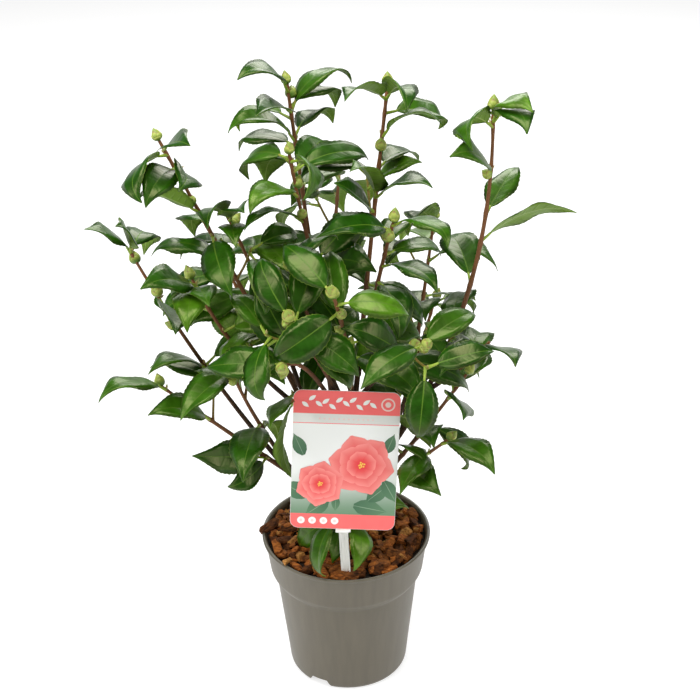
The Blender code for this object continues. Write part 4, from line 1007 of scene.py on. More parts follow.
def on_blade(leaf, share):
    """Point, upward normal and direction of a blade that curls evenly along its length."""
    foot = leaf["root"] + leaf["way"] * leaf["stalk"]
    turn = leaf["curl"] * share
    bow = leaf["length"] / leaf["curl"]
    point = foot + bow * (math.sin(turn) * leaf["way"] - (1 - math.cos(turn)) * leaf["face"])
    normal = math.cos(turn) * leaf["face"] + math.sin(turn) * leaf["way"]
    way = math.cos(turn) * leaf["way"] - math.sin(turn) * leaf["face"]
    return point, normal, way


def leaf_solid(leaf, from_stalk=0.0, extra=0.0):
    """A leaf as a loft of four-cornered rings: stalk, blade with a low fold, and a pointed tip."""
    side = leaf["side"]
    stalk = STALK_RADIUS + extra
    foot = leaf["root"] + leaf["way"] * from_stalk
    points = [foot + off * stalk for off in (-side, leaf["face"], side, -leaf["face"])]
    for share, width in LEAF_RINGS:
        centre, normal, _ = on_blade(leaf, share)
        half = max(width * leaf["width"] / 2, STALK_RADIUS) + extra
        lift = math.sin(leaf["fold"]) * half if share > 0 else 0.0
        thick = (LEAF_THICKNESS / 2 if share > 0 else STALK_RADIUS * 0.9) + extra
        points += [centre - side * half + normal * lift, centre + normal * thick,
                   centre + side * half + normal * lift, centre - normal * thick]
    tip, _, way = on_blade(leaf, 1.0)
    points.append(tip + way * extra)
    return loft(points, 4, closed_by_point=True)


def bud_solid(bud, extra=0.0):
    """A plump pointed bud of a few sides."""
    points = []
    for share, width in BUD_RINGS:
        centre = bud["root"] + bud["way"] * bud["length"] * share
        points += circle(centre, bud["way"], width * bud["width"] / 2 + extra, BUD_SIDES)
    points.append(bud["root"] + bud["way"] * (bud["length"] + extra))
    return loft(points, BUD_SIDES, closed_by_point=True)


def twig_solid(twig, start=0.0, extra=0.0):
    """A side twig, from a share of its path to its tip."""
    return limb(twig, start, 1.0, TWIG_RADIUS + extra, TWIG_TAPER * TWIG_RADIUS + extra, TWIG_SIDES, 3)


def card_room():
    """A flat box round the label."""
    points = [on_card(side * (CARD_WIDTH / 2 + 1 * MM), up, out)
              for up in (-2 * MM, CARD_HEIGHT + 1 * MM) for side in (-1, 1) for out in (1.5 * MM, -2 * MM)]
    faces = [(0, 1, 3, 2), (4, 6, 7, 5), (0, 4, 5, 1), (2, 3, 7, 6), (0, 2, 6, 4), (1, 5, 7, 3)]
    return np.array(points), faces


def stake_solid(extra=0.0):
    """The label's stake: down through the mulch, and leaning back behind the card."""
    half, thick = STAKE_WIDTH / 2 + extra, STAKE_THICKNESS / 2 + extra
    points = []
    for middle in STAKE_LINE:
        points += [np.array(middle) * MM + np.array((x, y, 0.0))
                   for x, y in ((-half, -thick), (half, -thick), (half, thick), (-half, thick))]
    return loft(points, 4, closed_by_point=False)


# %% Room that is already taken
class Room:
    """The space that is taken, as surfaces that a new leaf, twig or bud may not cross."""

    def __init__(self, taken=()):
        self.taken = list(taken)

    def take(self, solid, owner):
        points, faces = solid
        tree = BVHTree.FromPolygons(points.tolist(), faces)
        self.taken.append((points.min(0), points.max(0), tree, owner))

    def free(self, solid, but=()):
        """True where the solid crosses nothing, apart from what the named owners hold."""
        points, faces = solid
        low, high = points.min(0), points.max(0)
        tree = None
        for other_low, other_high, other_tree, owner in self.taken:
            if owner in but or (low > other_high).any() or (high < other_low).any():
                continue
            if tree is None:
                tree = BVHTree.FromPolygons(points.tolist(), faces)
            if tree.overlap(other_tree):
                return False
        return True


def reading_room():
    """The space between the label and a reader's eye, which no leaf hangs into."""
    low, high = 3 * MM, CARD_HEIGHT - 1 * MM
    near = [on_card(side * (CARD_WIDTH / 2 - 2 * MM), up, 2 * MM)
            for side, up in ((-1, low), (1, low), (1, high), (-1, high))]
    far = [corner + READING_SHARE * (np.array(READER) - corner) for corner in near]
    return loft(near + far, 4, closed_by_point=False)


def take_made_things(room, paths):
    """Take the room of the pot, the label, the space that the label is read through, and all limbs."""
    room.take(limb(paths["trunk"], 0.0, 1.0, 8 * MM, TRUNK_RADIUS, 8, 2), "trunk")
    for name, row in SHOOTS.items():
        start = row[4]
        room.take(limb(paths[name], 0.0, start - 0.004, shoot_radius(name, 0), shoot_radius(name, start),
                       6, 8), name + "_bough")
        room.take(limb(paths[name], start, 1.0, shoot_radius(name, start), TIP_RADIUS, 5, 6), name)
    axis = tuple(np.array((0.0, 0.0, height)) for height in (0.05, 0.1, POT_HEIGHT - 2 * MM))
    room.take(limb(axis, 0.0, 1.0, RIM_RADIUS, RIM_RADIUS, 24, 1), "pot")
    room.take(card_room(), "card")
    room.take(reading_room(), "reader")
    room.take(stake_solid(1 * MM), "stake")


# %% One leaf, one bud, one twig
def leaf_fits(room, leaf, name):
    """The whole leaf clears other masses, and its blade clears its own mass too."""
    if not room.free(leaf_solid(leaf, extra=GAP), (name, name + "_leaf", name + "_bud")):
        return False
    return room.free(leaf_solid(leaf, from_stalk=leaf["stalk"] * 0.9, extra=GAP))


def leaf_at(path, share, turn, slope, sag, roll, measures):
    """A leaf of a shoot: turned round it, sloping from it, with its upper face to the light."""
    way = heading(path, share)
    left, front = square_to(way)
    out = math.cos(turn) * left + math.sin(turn) * front
    along = unit(math.cos(slope) * way + math.sin(slope) * out - sag * UP)
    wanted = 0.65 * LIGHT + 0.35 * way
    face = wanted - wanted.dot(along) * along
    if np.linalg.norm(face) < 0.05:
        return None
    face = unit(face)
    face = math.cos(roll) * face + math.sin(roll) * np.cross(along, face)
    return dict(measures, root=place_on(path, share), way=along, face=face, side=np.cross(along, face))


def grow_leaf(draw, room, path, share, turn, radius, young, name, size, droop):
    """A leaf of the seeded rule, turned on until it has room, or None."""
    length = draw.uniform(*LEAF_LENGTH) * size * (1 - 0.2 * young)
    measures = dict(length=length, width=length * draw.uniform(*LEAF_WIDTH))
    slope = math.radians(draw.uniform(52, 74) - 24 * young)
    measures["curl"] = draw.uniform(*LEAF_CURL)
    measures["fold"] = math.radians(draw.uniform(8, 24))
    sag = draw.uniform(0.0, 0.35) + droop
    roll = draw.gauss(0, 0.30)
    measures["stalk"] = draw.uniform(*STALK_LENGTH) + radius
    for more in TRIES:
        leaf = leaf_at(path, share, turn + math.radians(more), slope, sag, roll, measures)
        if leaf is not None and leaf_fits(room, leaf, name):
            return leaf
    return None


def hold_leaf(draw, room, path, row, name):
    """A leaf whose direction is given, turned a little if it must be, or None."""
    share, turn, slope, length, curl, roll = row
    measures = dict(length=length * MM, width=length * MM * draw.uniform(*LEAF_WIDTH), curl=curl)
    measures["fold"] = math.radians(draw.uniform(8, 24))
    measures["stalk"] = HELD_STALK
    for more in HELD_TRIES:
        leaf = leaf_at(path, share, math.radians(turn + more), math.radians(slope), 0.0,
                       math.radians(roll), measures)
        if leaf is not None and leaf_fits(room, leaf, name):
            return leaf
    return None


def grow_bud(draw, room, path, share, turn, slope, size, name):
    """A bud at a share of a shoot, turned on and leant further out until it has room, or None."""
    way = heading(path, share)
    left, front = square_to(way)
    length = draw.uniform(*BUD_LENGTH) * size
    width = length * draw.uniform(*BUD_WIDTH)
    root = place_on(path, share) - way * BUD_SINK
    for more in TRIES:
        out = math.cos(turn + math.radians(more)) * left + math.sin(turn + math.radians(more)) * front
        lean = slope + BUD_OPENING * math.radians(abs(more))
        along = unit(math.cos(lean) * way + math.sin(lean) * out + BUD_RISE * UP)
        bud = dict(root=root, way=along, length=length, width=width)
        if room.free(bud_solid(bud, GAP), (name, name + "_bud")):
            return bud
    return None


def grow_twig(draw, room, path, share, turn, name):
    """The path of a side twig, or None."""
    way = heading(path, share)
    left, front = square_to(way)
    foot = place_on(path, share)
    length = draw.uniform(*TWIG_LENGTH)
    slope = math.radians(draw.uniform(38, 52))
    for more in TRIES:
        out = math.cos(turn + math.radians(more)) * left + math.sin(turn + math.radians(more)) * front
        along = unit(math.cos(slope) * way + math.sin(slope) * out)
        twig = (foot, foot + along * length / 2, foot + length * unit(along + 0.25 * UP))
        if room.free(twig_solid(twig, 0.0, GAP), (name,)):
            return twig
    return None


# %% One shoot's foliage
def grow_mass(room, name, path, radii, row, held):
    """Leaves, twigs and buds of one shoot, from the share where its foliage starts up to its tip."""
    _, _, _, _, start, leaves, twigs, buds, seed = row
    draw = random.Random(seed)
    low = name.startswith("base")
    droop, size = (0.5, 0.8) if low else (0.0, 1.0)
    mass = dict(leaves=[], twigs=[], buds=[])

    def keep(kind, thing, solid):
        if thing is not None:
            mass[kind].append(thing)
            room.take(solid(thing), name + {"leaves": "_leaf", "buds": "_bud"}[kind])

    for held_row in held:
        keep("leaves", hold_leaf(draw, room, path, held_row, name), leaf_solid)
    turn = draw.uniform(0, 2 * math.pi)
    for place in range(buds):
        share = 1.0 if place == 0 else start + (1 - start) * (BUD_TOP - BUD_STEP * (place - 1))
        slope = math.radians(8 if place == 0 else draw.uniform(32, 50))
        keep("buds", grow_bud(draw, room, path, share, turn - place * GOLDEN, slope,
                              draw.uniform(0.85, 1.0), name), bud_solid)
    twig_places = {1 + round((leaves - 3) * (place + 0.5) / twigs) for place in range(twigs)}
    for place in range(leaves):
        up = (place + 0.5) / leaves
        share = start + (1 - start) * min(0.97, 0.04 + 0.96 * up ** 0.92)
        turn += GOLDEN + draw.gauss(0, 0.22)
        young = max(0.0, up - 0.75) * 3
        radius = radii[0] + (radii[1] - radii[0]) * up
        if place not in twig_places:
            keep("leaves", grow_leaf(draw, room, path, share, turn, radius, young, name, size, droop),
                 leaf_solid)
            continue
        twig = grow_twig(draw, room, path, share, turn, name)
        if twig is None:
            continue
        room.take(twig_solid(twig, 0.1), name)
        mass["twigs"].append(twig)
        twig_turn = draw.uniform(0, 2 * math.pi)
        count = draw.choice((2, 3, 3, 4))
        for order, twig_share in enumerate((0.45, 0.70, 0.86, 0.95)[4 - count:]):
            twig_turn += GOLDEN
            keep("leaves", grow_leaf(draw, room, twig, twig_share, twig_turn, TWIG_RADIUS,
                                     0.4 + 0.15 * order, name, size * 0.92, droop), leaf_solid)
        keep("buds", grow_bud(draw, room, twig, 1.0, twig_turn, math.radians(12), 0.95, name), bud_solid)
    return mass


# %% Grow the whole shrub
PATHS = shoot_paths()
ROOM = Room()
take_made_things(ROOM, PATHS)
SHRUB = {}
for name, row in SHOOTS.items():
    SHRUB[name] = grow_mass(ROOM, name, PATHS[name], (shoot_radius(name, row[4]), TIP_RADIUS), row,
                            HELD.get(name, ()))
LEAVES = [leaf for mass in SHRUB.values() for leaf in mass["leaves"]]
BUDS = [bud for mass in SHRUB.values() for bud in mass["buds"]]
TWIGS = [twig for mass in SHRUB.values() for twig in mass["twigs"]]
print(len(LEAVES), "leaves", len(BUDS), "buds", len(TWIGS), "twigs")

# %% [markdown]
# ## Stems
# Old camellia wood is dark grey-brown and finely cracked, the shoots above are red-brown, and the
# newest twigs are green. Each stem is a tube along its curved path, swollen a little where a leaf
# stands. All tubes of a kind are worked out together: a path's point is (1-t)^2 foot + 2t(1-t) bend +
# t^2 tip, and a circle of the stem's radius is set square to the path at each of many steps.

# %% Many tubes at once
def shares(copies, steps, first=0.0):
    """Shares of a path in even steps up to 1, the same for each of many tubes."""
    return np.linspace(first, 1, steps)[None] + np.zeros((copies, 1))


def straight(root, reach):
    """Straight paths from many roots, given how far and which way each reaches."""
    return np.stack([root, root + reach / 2, root + reach], 1)


def many_square_to(way):
    """Two axes square to each of many ways."""
    left = np.cross(way, (0.0, 1.0, 0.0))
    left /= np.linalg.norm(left, axis=-1, keepdims=True)
    return left, np.cross(way, left)


def many_places(paths, t):
    """Points of many paths at shares t, and the unit directions there."""
    foot, bend, tip = (paths[:, number][:, None] for number in range(3))
    t = t[..., None]
    point = (1 - t) ** 2 * foot + 2 * t * (1 - t) * bend + t * t * tip
    way = (1 - t) * (bend - foot) + t * (tip - bend)
    return point, way / np.linalg.norm(way, axis=-1, keepdims=True)


def many_tubes(paths, t, radius, sides, lobes=0.0):
    """Circles round many paths: centre + r (cos a * left + sin a * front), with r(t) for each path."""
    point, way = many_places(paths, t)
    left, front = many_square_to(way)
    a = np.linspace(0, 2 * np.pi, sides, endpoint=False)
    r = radius[..., None] * (1 + lobes * np.sin(3 * a + 9 * t[..., None]))
    return (point[..., None, :] + (r * np.cos(a))[..., None] * left[..., None, :]
            + (r * np.sin(a))[..., None] * front[..., None, :])


def sized(key):
    """One measure of every leaf as an array."""
    return np.array([leaf[key] for leaf in LEAVES])


# %% Shoots swollen at their leaves
SHOOT_STEPS, SHOOT_SIDES = 72, 10
TRUNK_FORK, SHOOT_FORK, FORK_SHARE = 0.55, 0.35, 0.03        # swelling at a shoot's foot
KNUCKLE, KNUCKLE_SHARE = 0.45 * MM, 0.012                    # swelling at a leaf
LEAF_REACH = 3 * MM                                          # leaves closer than this are its own
axes = np.array([PATHS[name] for name in SHOOTS])
t = shares(len(SHOOTS), SHOOT_STEPS)
foot_radius = np.array([shoot_radius(name, 0) for name in SHOOTS])[:, None]
radius = foot_radius + (TIP_RADIUS - foot_radius) * t
fork = np.array([TRUNK_FORK if row[0] == "trunk" else SHOOT_FORK for row in SHOOTS.values()])[:, None]
radius = radius * (1 + fork * np.exp(-t / FORK_SHARE))
leaf_roots = sized("root")
for own_t, own_radius, own_points in zip(t, radius, many_places(axes, t)[0]):
    gap = np.linalg.norm(own_points[:, None] - leaf_roots[None], axis=-1)
    at = own_t[gap.argmin(axis=0)][gap.min(axis=0) < LEAF_REACH]
    own_radius += KNUCKLE * np.exp(-((own_t[:, None] - at) / KNUCKLE_SHARE) ** 2).max(axis=1, initial=0)
shoots = many_tubes(axes, t, radius, SHOOT_SIDES, 0.05)
print(shoots.shape, "shoot points")

# %% [markdown]
# ### The short trunk
# Below the fork the trunk flares into shallow root lobes where it meets the bark. Its radius is the
# plain radius plus a flare that fades with the square of the height, times five soft lobes.

# %% The trunk's surface
TRUNK_STEPS, TRUNK_SIDES = 26, 24
NECK_START, NECK_SHARE = 0.93, 0.8         # above this share the trunk draws in under the shoots
t_trunk = shares(1, TRUNK_STEPS, first=-0.06)
flare = np.clip(1 - t_trunk / FLARE_HEIGHT, 0, None) ** 2
trunk_radius = TRUNK_RADIUS + (TRUNK_FLARE - TRUNK_RADIUS) * np.minimum(flare, 1.1)
trunk_radius = trunk_radius * np.where(t_trunk > NECK_START, NECK_SHARE, 1.0)
trunk = many_tubes(np.array([PATHS["trunk"]]), t_trunk, trunk_radius, TRUNK_SIDES)
angle = np.linspace(0, 2 * np.pi, TRUNK_SIDES, endpoint=False)
middle_line = trunk.mean(axis=2, keepdims=True)
root_lobes = 0.14 * np.minimum(flare, 1)[..., None] * np.cos(5 * angle)
lobe = 1 + root_lobes + 0.03 * np.sin(9 * angle + 40 * t_trunk[..., None])
trunk = middle_line + (trunk - middle_line) * lobe[..., None]
trunk[:, 0, :, 2] = trunk[:, 0, :, 2].min()


# %% Bark from old to young
def bark_finish(name, old, young, depth):
    """Bark whose colour runs along the stem, with cracks drawn out upwards; UV y is how young it is."""
    made = Finish(name, old, 0.72, Specular_IOR_Level=0.20)
    youth = made.across()[1]
    cracks = made.noise(1.0, 4.0, made.stretched(900, 900, 190))
    patches = made.noise(140, 2.0)
    tone = made.blend((youth + patches * 0.5 - 0.25).step(0.05, 0.85), old, young)
    dark = made.blend((1.0 - youth) * 0.7, tone, (0.022, 0.013, 0.009))
    made.feed(Base_Color=made.blend((cracks * 0.7 + patches * 0.3).step(0.34, 0.62), dark, tone))
    made.feed(Roughness=0.85 - youth * 0.35)
    return made.relief(cracks, depth)


bark = bark_finish("camellia_bark", (0.056, 0.030, 0.018), (0.180, 0.074, 0.028), 0.0007)
young_wood = bark_finish("young_wood", (0.165, 0.076, 0.028), (0.230, 0.180, 0.035), 0.0003)


def round_and_young(sides, youth):
    """Each point's place in the UV map: x runs round the stem, y is how young it is."""
    return spread(np.linspace(0, 1, sides), youth[..., None]).reshape(-1, 2)


stem_uv = np.concatenate([round_and_young(TRUNK_SIDES, 0 * t_trunk),
                          round_and_young(SHOOT_SIDES, np.clip((t - 0.10) / 0.75, 0, 1))])
points, faces, ends = closed_tubes(trunk, shoots)
stems = make_piece("stems", points, faces, [bark.material], coordinates=stem_uv, ends=ends)
finish_piece(stems, "stem_bark", "trunk", *(name + "_bough" for name in SHOOTS))

# %% Side twigs
SIDES_OF_TWIG = 8
t = shares(len(TWIGS), 18)
radius = TWIG_RADIUS * (1.05 - 0.25 * t) * (1 + 0.5 * np.exp(-t / 0.05))
points, faces, ends = closed_tubes(many_tubes(np.array(TWIGS), t, radius, SIDES_OF_TWIG, 0.04))
twig_piece = make_piece("side_twigs", points, faces, [young_wood.material],
                        coordinates=round_and_young(SIDES_OF_TWIG, 0.3 + 0.6 * t), ends=ends)
finish_piece(twig_piece, "stem_bark")

# %% [markdown]
# ## Leaves
# A camellia leaf is a thick, glossy oval that narrows to a drawn-out tip, with fine teeth along its
# edge, a pale midrib and a shallow fold. One leaf could be modelled and copied, but copies look alike,
# so every leaf is worked out from its own length, width, curl and fold. Its blade is a closed skin:
# ten points go round each cross-section, over the top and back underneath, and the section is carried
# along a midrib that bends more and more towards the tip, while the blade twists a little round it.
# The two narrow strips along the midrib are faces of their own, so the pale rib needs no picture.

# %% The midrib's bend
LEAF_ROWS = 31
TIP_START, TIP_CURL = 0.60, (0.2, 1.0)     # where the tip's own curl begins, and how much it is
SWAY, TWIST = 0.05, 0.55                   # at most, to either side
FILL, TOOTH = 0.98, 0.022                  # share of the measured width, and of that the teeth
FOLD_LIFT, DISH = 1.50, 0.32               # how a fold lifts the edges, and how far they roll down
WAVE, WAVES = 0.028, (1.1, 2.0)            # height as a share of the length, and waves to a leaf
BLADE, RIB = 0.5 * MM, 0.35 * MM           # thickness, and how far the rib stands out underneath
leaf_draw = np.random.default_rng(4)
leaf_count = len(LEAVES)


def midribs(u, length, curl, tip_curl):
    """How far a midrib has gone forward and down at shares u: the sums of cos and sin of its angle.

    The angle is curl * u, plus the tip's own curl over the last two fifths.
    """
    angle = curl * u + tip_curl * np.clip((u - TIP_START) / (1 - TIP_START), 0, 1) ** 1.4
    between = (angle[:, 1:] + angle[:, :-1]) / 2
    step = np.diff(u, axis=1) * length
    start = np.zeros((len(angle), 1))
    forward = np.concatenate([start, np.cumsum(np.cos(between) * step, axis=1)], axis=1)
    down = np.concatenate([start, np.cumsum(np.sin(between) * step, axis=1)], axis=1)
    return angle, forward, down


def blade_outline(u):
    """Half width as a share of the widest: sin(pi u^0.86)^0.8, drawn out to a narrow tip."""
    tip = 1 - 0.62 * np.clip((u - 0.62) / 0.38, 0, 1) ** 1.2
    return np.sin(np.pi * np.clip(u, 0.002, 0.995) ** 0.86) ** 0.8 * tip


# %% All blades in one array
def draw_each(low, high):
    """A random number for each leaf."""
    return leaf_draw.uniform(low, high, (leaf_count, 1))


length, width, curl, fold = (sized(key)[:, None] for key in ("length", "width", "curl", "fold"))
root, way, face, side = (sized(key)[:, None] for key in ("root", "way", "face", "side"))
foot = root + way * sized("stalk")[:, None, None]
u = shares(leaf_count, LEAF_ROWS)
angle, forward, down = midribs(u, length, curl, draw_each(*TIP_CURL))
midrib = foot + forward[..., None] * way - down[..., None] * face
normal = np.cos(angle)[..., None] * face + np.sin(angle)[..., None] * way
midrib = midrib + (draw_each(-SWAY, SWAY) * length * u ** 2)[..., None] * side
twist = (draw_each(-TWIST, TWIST) * u ** 1.5)[..., None]
across_blade = np.cos(twist) * side + np.sin(twist) * normal
normal = np.cos(twist) * normal - np.sin(twist) * side
teeth = 1 + TOOTH * (-1.0) ** np.arange(LEAF_ROWS)[None]
half = FILL * width / 2 * blade_outline(u) * teeth + 0.35 * MM
rib = np.minimum(0.60 * MM * (1 - 0.72 * u), 0.45 * half)
between = 0.55 * half
offsets = spread(-half, -between, -rib, rib, between, half, between, rib, -rib, -between)
v = offsets / half[..., None]
skin = np.array((0, 1, 0.35, 0.35, 1, 0, -1, -1, -1, -1)) * BLADE / 2
keel = np.array((0, 0, 0, 0, 0, 0, 0, -1, -1, 0)) * RIB
wave = WAVE * length * np.sin(2 * np.pi * (draw_each(*WAVES) * u + draw_each(0, 1)))
wave_side = wave * leaf_draw.choice((-1, 1), (leaf_count, 1))
lift = half[..., None] * (FOLD_LIFT * np.sin(fold)[..., None] * np.abs(v) - DISH * v ** 2)
lift = lift + np.where(v > 0, wave[..., None], wave_side[..., None]) * v ** 2 * np.sin(np.pi * u)[..., None]
lift = lift + skin + keel * (1 - 0.8 * u)[..., None]
blades = midrib[..., None, :] + offsets[..., None] * across_blade[..., None, :]
blades = blades + lift[..., None] * normal[..., None, :]
print(blades.shape, "blade points")

# %% [markdown]
# ### Waxed green
# The upper face is deep green and glossy, the under face paler, yellower and dull. Old leaves are
# nearly bottle green and new ones are fresh and light, so leaves are dealt one of four greens. The
# side veins hardly show: they run out from the midrib and bend towards the tip, as shallow furrows
# with a hint of paler green, worked out from each leaf's own u and v.

# %% Leaf finishes
EDGE_GREEN = (0.150, 0.250, 0.024)         # the thin pale border with the teeth
VEINS, VEIN_LEAN, VEIN_BEND = 8.5, 1.25, 1.3


def leaf_veins(made):
    """How far out from the midrib a point is, and how far from the nearest side vein.

    A vein runs where VEINS u - VEIN_LEAN |v|^VEIN_BEND comes half way between two whole numbers.
    """
    along, side_share = made.across()
    out = (side_share - 0.5).size() * 2.0
    return out, ((along * VEINS - out ** VEIN_BEND * VEIN_LEAN).fraction() - 0.5).size() * 2.0


def tinted(colour, share, more=0.0):
    """A colour made darker or lighter."""
    return tuple(share * part + more for part in colour)


def leaf_top(name, colour):
    """Glossy upper face with a pale border and furrowed veins."""
    made = Finish(name, colour, 0.30, Specular_IOR_Level=0.47, Specular_Tint=(1.0, 0.97, 0.46, 1.0))
    out, veins = leaf_veins(made)
    quilt = veins.step(0.0, 0.55)
    waxy = made.noise(95, 3.0)
    paler = tinted(colour, 1.5, 0.01)
    blotched = made.blend(waxy.step(0.30, 0.70), tinted(colour, 0.72), tinted(colour, 1.30))
    veined = made.blend((1.0 - veins.step(0.0, 0.22)) * 0.10, blotched, paler)
    made.feed(Base_Color=made.blend(out.step(0.93, 1.0) * 0.85, veined, EDGE_GREEN))
    made.feed(Roughness=0.22 + waxy * 0.18)
    soft = made.noise(70, 1.0)
    return made.relief(soft * 0.90 + quilt * 0.07 + made.noise(900, 2.0) * 0.03, 0.00080)


def leaf_under(name, colour):
    """Dull under face with the same veins standing proud."""
    made = Finish(name, colour, 0.55, Specular_IOR_Level=0.30, Specular_Tint=(1.0, 1.0, 0.60, 1.0))
    _, veins = leaf_veins(made)
    shade = made.noise(80, 2.0)
    made.feed(Base_Color=made.blend(shade.step(0.3, 0.7), tinted(colour, 0.86), colour))
    return made.relief(1.0 - veins.step(0.0, 0.35), 0.00030)


TOPS = (leaf_top("leaf_bottle_green", (0.0072, 0.046, 0.0010)),
        leaf_top("leaf_deep_green", (0.0125, 0.063, 0.0014)),
        leaf_top("leaf_mid_green", (0.0240, 0.088, 0.0020)),
        leaf_top("leaf_fresh_green", (0.0480, 0.132, 0.0035)))
UNDERS = (leaf_under("under_green", (0.135, 0.245, 0.024)),
          leaf_under("under_fresh_green", (0.220, 0.370, 0.036)))
top_rib = Finish("midrib_pale", (0.070, 0.140, 0.010), 0.5, Specular_IOR_Level=0.2)
top_rib.feed(Roughness=0.38 + top_rib.noise(500, 2.0) * 0.15)
under_rib = Finish("midrib_under", (0.270, 0.370, 0.080), 0.5)
under_rib.feed(Roughness=0.45 + under_rib.noise(500, 2.0) * 0.15)

# %% Deal out the greens and make the leaves
TONE_SHARES = (0.28, 0.36, 0.28, 0.08)     # of the leaves that are bottle, deep, mid and fresh green
MID, FRESH = 2, 3
TOP, TOP_RIB, UNDER, UNDER_RIB = range(4)
COLUMN_PARTS = (TOP, TOP, TOP_RIB, TOP, TOP, UNDER, UNDER, UNDER_RIB, UNDER, UNDER)
owner = np.array([name for name in SHOOTS for leaf in SHRUB[name]["leaves"]])
tone = leaf_draw.choice(len(TOPS), leaf_count, p=TONE_SHARES)
tone = np.where(np.isin(owner, ("base_front", "low_side")), np.maximum(tone, MID), tone)
tone = np.where((owner == "base_front") & (leaf_draw.random(leaf_count) < 0.6), FRESH, tone)
# materials 0 to 3 are the greens on top, 4 is the rib there, 5 and 6 are the greens underneath, and
# 7 is the rib underneath
materials = [finish.material for finish in (*TOPS, top_rib, *UNDERS, under_rib)]
part = np.tile(COLUMN_PARTS, LEAF_ROWS - 1)[None]
kinds = np.select([part == TOP, part == TOP_RIB, part == UNDER],
                  [tone[:, None], 4, 5 + (tone[:, None] == FRESH)], 7)
points, faces, ends = closed_tubes(blades)
leaves = make_piece("leaves", points, faces, materials, np.concatenate([kinds.ravel(), np.tile(tone, 2)]),
                    spread(u[..., None], v * 0.5 + 0.5), ends=ends)
finish_piece(leaves, "foliage", *(name + "_foliage" for name in SHOOTS))

# %% Leaf stalks
stalk_start, stalk_end = sized("root"), foot[:, 0] + sized("way") * 1.5 * MM
stalk_bend = (stalk_start + stalk_end) / 2 - sized("face") * 0.4 * MM
t = shares(leaf_count, 6)
radius = STALK_RADIUS * (1.30 - 0.40 * t) + 0.30 * MM * np.exp(-t / 0.15)
stalks = many_tubes(np.stack([stalk_start, stalk_bend, stalk_end], 1), t, radius, 7)
stalk_green = Finish("stalk_green", (0.260, 0.350, 0.045), 0.45, Specular_IOR_Level=0.3)
blush = stalk_green.noise(260, 2.0)
stalk_green.feed(Base_Color=stalk_green.blend(blush.step(0.5, 0.75),
                                              (0.240, 0.350, 0.035), (0.310, 0.250, 0.050)))
points, faces, ends = closed_tubes(stalks)
stalk_piece = make_piece("leaf_stalks", points, faces, [stalk_green.material], ends=ends)
finish_piece(stalk_piece, "foliage")

# %% [markdown]
# ## Buds
# A camellia's flower bud is a plump, pointed egg of overlapping scales, pale green with brown edges.
# Its core is an egg: radius = half the width times sin(pi t^0.68)^0.85. Each scale is a patch laid over
# the core, raised in its middle and sinking into the egg at its borders. Short outer scales lie over
# the longer inner ones, and each is turned on by the same 137.5 degrees as the leaves are.

# %% Cores of all flower buds
bud_count = len(BUDS)
bud_root, bud_way = (np.array([bud[key] for bud in BUDS]) for key in ("root", "way"))
bud_length, bud_width = (np.array([bud[key] for bud in BUDS])[:, None] for key in ("length", "width"))
CORE_STEPS, CORE_SIDES, SCALES, SCALE_ROWS = 11, 12, 7, 7


def egg(t, half_width):
    """Radius of the core at share t of its length."""
    return half_width * np.sin(np.pi * np.clip(t, 0.004, 0.999) ** 0.68) ** 0.85


bud_left, bud_front = many_square_to(bud_way)
t = shares(bud_count, CORE_STEPS)
cores = many_tubes(straight(bud_root, bud_way * bud_length), t, egg(t, bud_width / 2), CORE_SIDES)

# %% Scales that overlap
# s runs up a scale, w runs across it, and k is the scale's number
s = np.linspace(0, 1, SCALE_ROWS)[None, None, :, None]
w = np.linspace(-1, 1, SCALE_ROWS)[None, None, None, :]
k = np.arange(SCALES)[None, :, None, None]
turn = k * GOLDEN + np.linspace(0, 40, bud_count)[:, None, None, None]
top_share = 0.40 + 0.085 * k
t = 0.01 + s * top_share + 0 * w
half_turn = 1.30 * np.sqrt(np.clip(1 - s ** 2.4, 0.0, 1)) + 0.02
height = (0.75 - 0.07 * k) * MM * (1 - np.abs(w) ** 6) * (1 - s ** 14) - 0.06 * MM
around = turn + w * half_turn
r = egg(t, (bud_width / 2)[:, :, None, None]) + height
along = bud_length[:, :, None, None] * t + 0 * around
scales = (bud_root[:, None, None, None] + along[..., None] * bud_way[:, None, None, None]
          + (r * np.cos(around))[..., None] * bud_left[:, None, None, None]
          + (r * np.sin(around))[..., None] * bud_front[:, None, None, None])
scale_faces = repeat_faces(grid_faces(SCALE_ROWS, SCALE_ROWS), bud_count * SCALES, SCALE_ROWS ** 2)
scale_uv = spread(s + 0 * r, (w + 1) / 2)
print(bud_count, "flower buds of", SCALES, "scales")

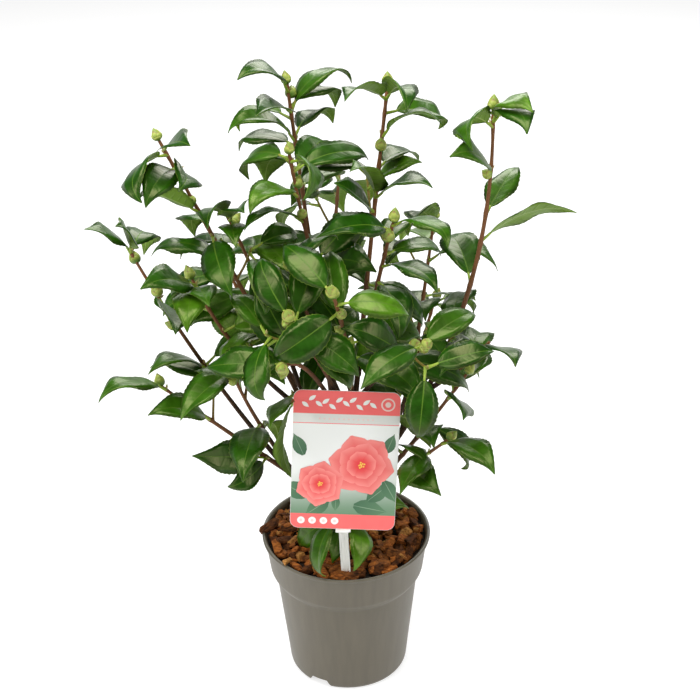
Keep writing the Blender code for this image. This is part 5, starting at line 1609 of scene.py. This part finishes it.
# %% Bud finish and piece
bud_green = Finish("bud_scale", (0.290, 0.370, 0.070), 0.42, Specular_IOR_Level=0.35)
along_scale, across_scale = bud_green.across()
rim = along_scale ** 5 + ((across_scale - 0.5).size() * 2.0) ** 6 * 0.6
spots = bud_green.noise(330, 3.0)
body_colour = bud_green.blend(along_scale.step(0.1, 0.9), (0.085, 0.170, 0.014), (0.360, 0.420, 0.080))
browned = (rim * (0.35 + spots)).step(0.20, 0.75)
bud_green.feed(Base_Color=bud_green.blend(browned, body_colour, (0.200, 0.110, 0.040)))
bud_green.relief(bud_green.noise(1.0, 2.0, bud_green.stretched(900, 900, 300)), 0.0001)
core_points, core_faces, ends = closed_tubes(cores)
bud_faces = np.concatenate([core_faces, scale_faces + len(core_points)])
bud_uv = np.concatenate([np.full((len(core_points), 2), 0.5), scale_uv.reshape(-1, 2)])
bud_points = np.concatenate([core_points, scales.reshape(-1, 3)])
bud_piece = make_piece("flower_buds", bud_points, bud_faces, [bud_green.material], coordinates=bud_uv,
                       ends=ends)
finish_piece(bud_piece, "foliage")

# %% Small leaf buds in the angles of the leaves
SMALL_SHARE, SMALL_LENGTH = 0.55, (3.5, 6.5)         # of the leaves that have one; length in mm
has_bud = leaf_draw.random(leaf_count) < SMALL_SHARE
small_root = (sized("root") + sized("way") * 0.8 * MM + sized("face") * 0.9 * MM)[has_bud]
small_way = sized("way")[has_bud] * 0.55 + sized("face")[has_bud] * 0.8
small_way /= np.linalg.norm(small_way, axis=-1, keepdims=True)
small_length = leaf_draw.uniform(*SMALL_LENGTH, len(small_root))[:, None] * MM
t = shares(len(small_root), 6)
small = many_tubes(straight(small_root, small_way * small_length), t, egg(t, small_length * 0.19), 6)
small_green = Finish("leaf_bud", (0.300, 0.340, 0.090), 0.5)
small_green.feed(Base_Color=small_green.blend(small_green.noise(300, 2.0).step(0.35, 0.65),
                                              (0.250, 0.300, 0.070), (0.360, 0.260, 0.090)))
points, faces, ends = closed_tubes(small)
small_piece = make_piece("leaf_buds", points, faces, [small_green.material], ends=ends)
finish_piece(small_piece, "foliage")

# %% [markdown]
# ## Floor and finish
# The floor is one wide pale sheet: nothing on it competes with the plant, and it throws soft light
# back up under the leaves.

# %% The floor
FLOOR_REACH = 40.0
FLOOR_DROP = -0.2 * MM               # it lies so far under the pot
floor_points = np.array([(x * FLOOR_REACH, y * FLOOR_REACH, FLOOR_DROP)
                         for x, y in ((-1, -1), (1, -1), (1, 1), (-1, 1))])
floor_finish = Finish("pale_floor", (0.45, 0.45, 0.45), 0.75, Specular_IOR_Level=0.2,
                      Emission_Color=(1.0, 1.0, 1.0, 1.0), Emission_Strength=0.70)
floor_finish.feed(Roughness=0.70 + floor_finish.noise(3.0, 2.0) * 0.1)
floor = make_piece("floor", floor_points, np.array([(0, 1, 2, 3)]), [floor_finish.material])
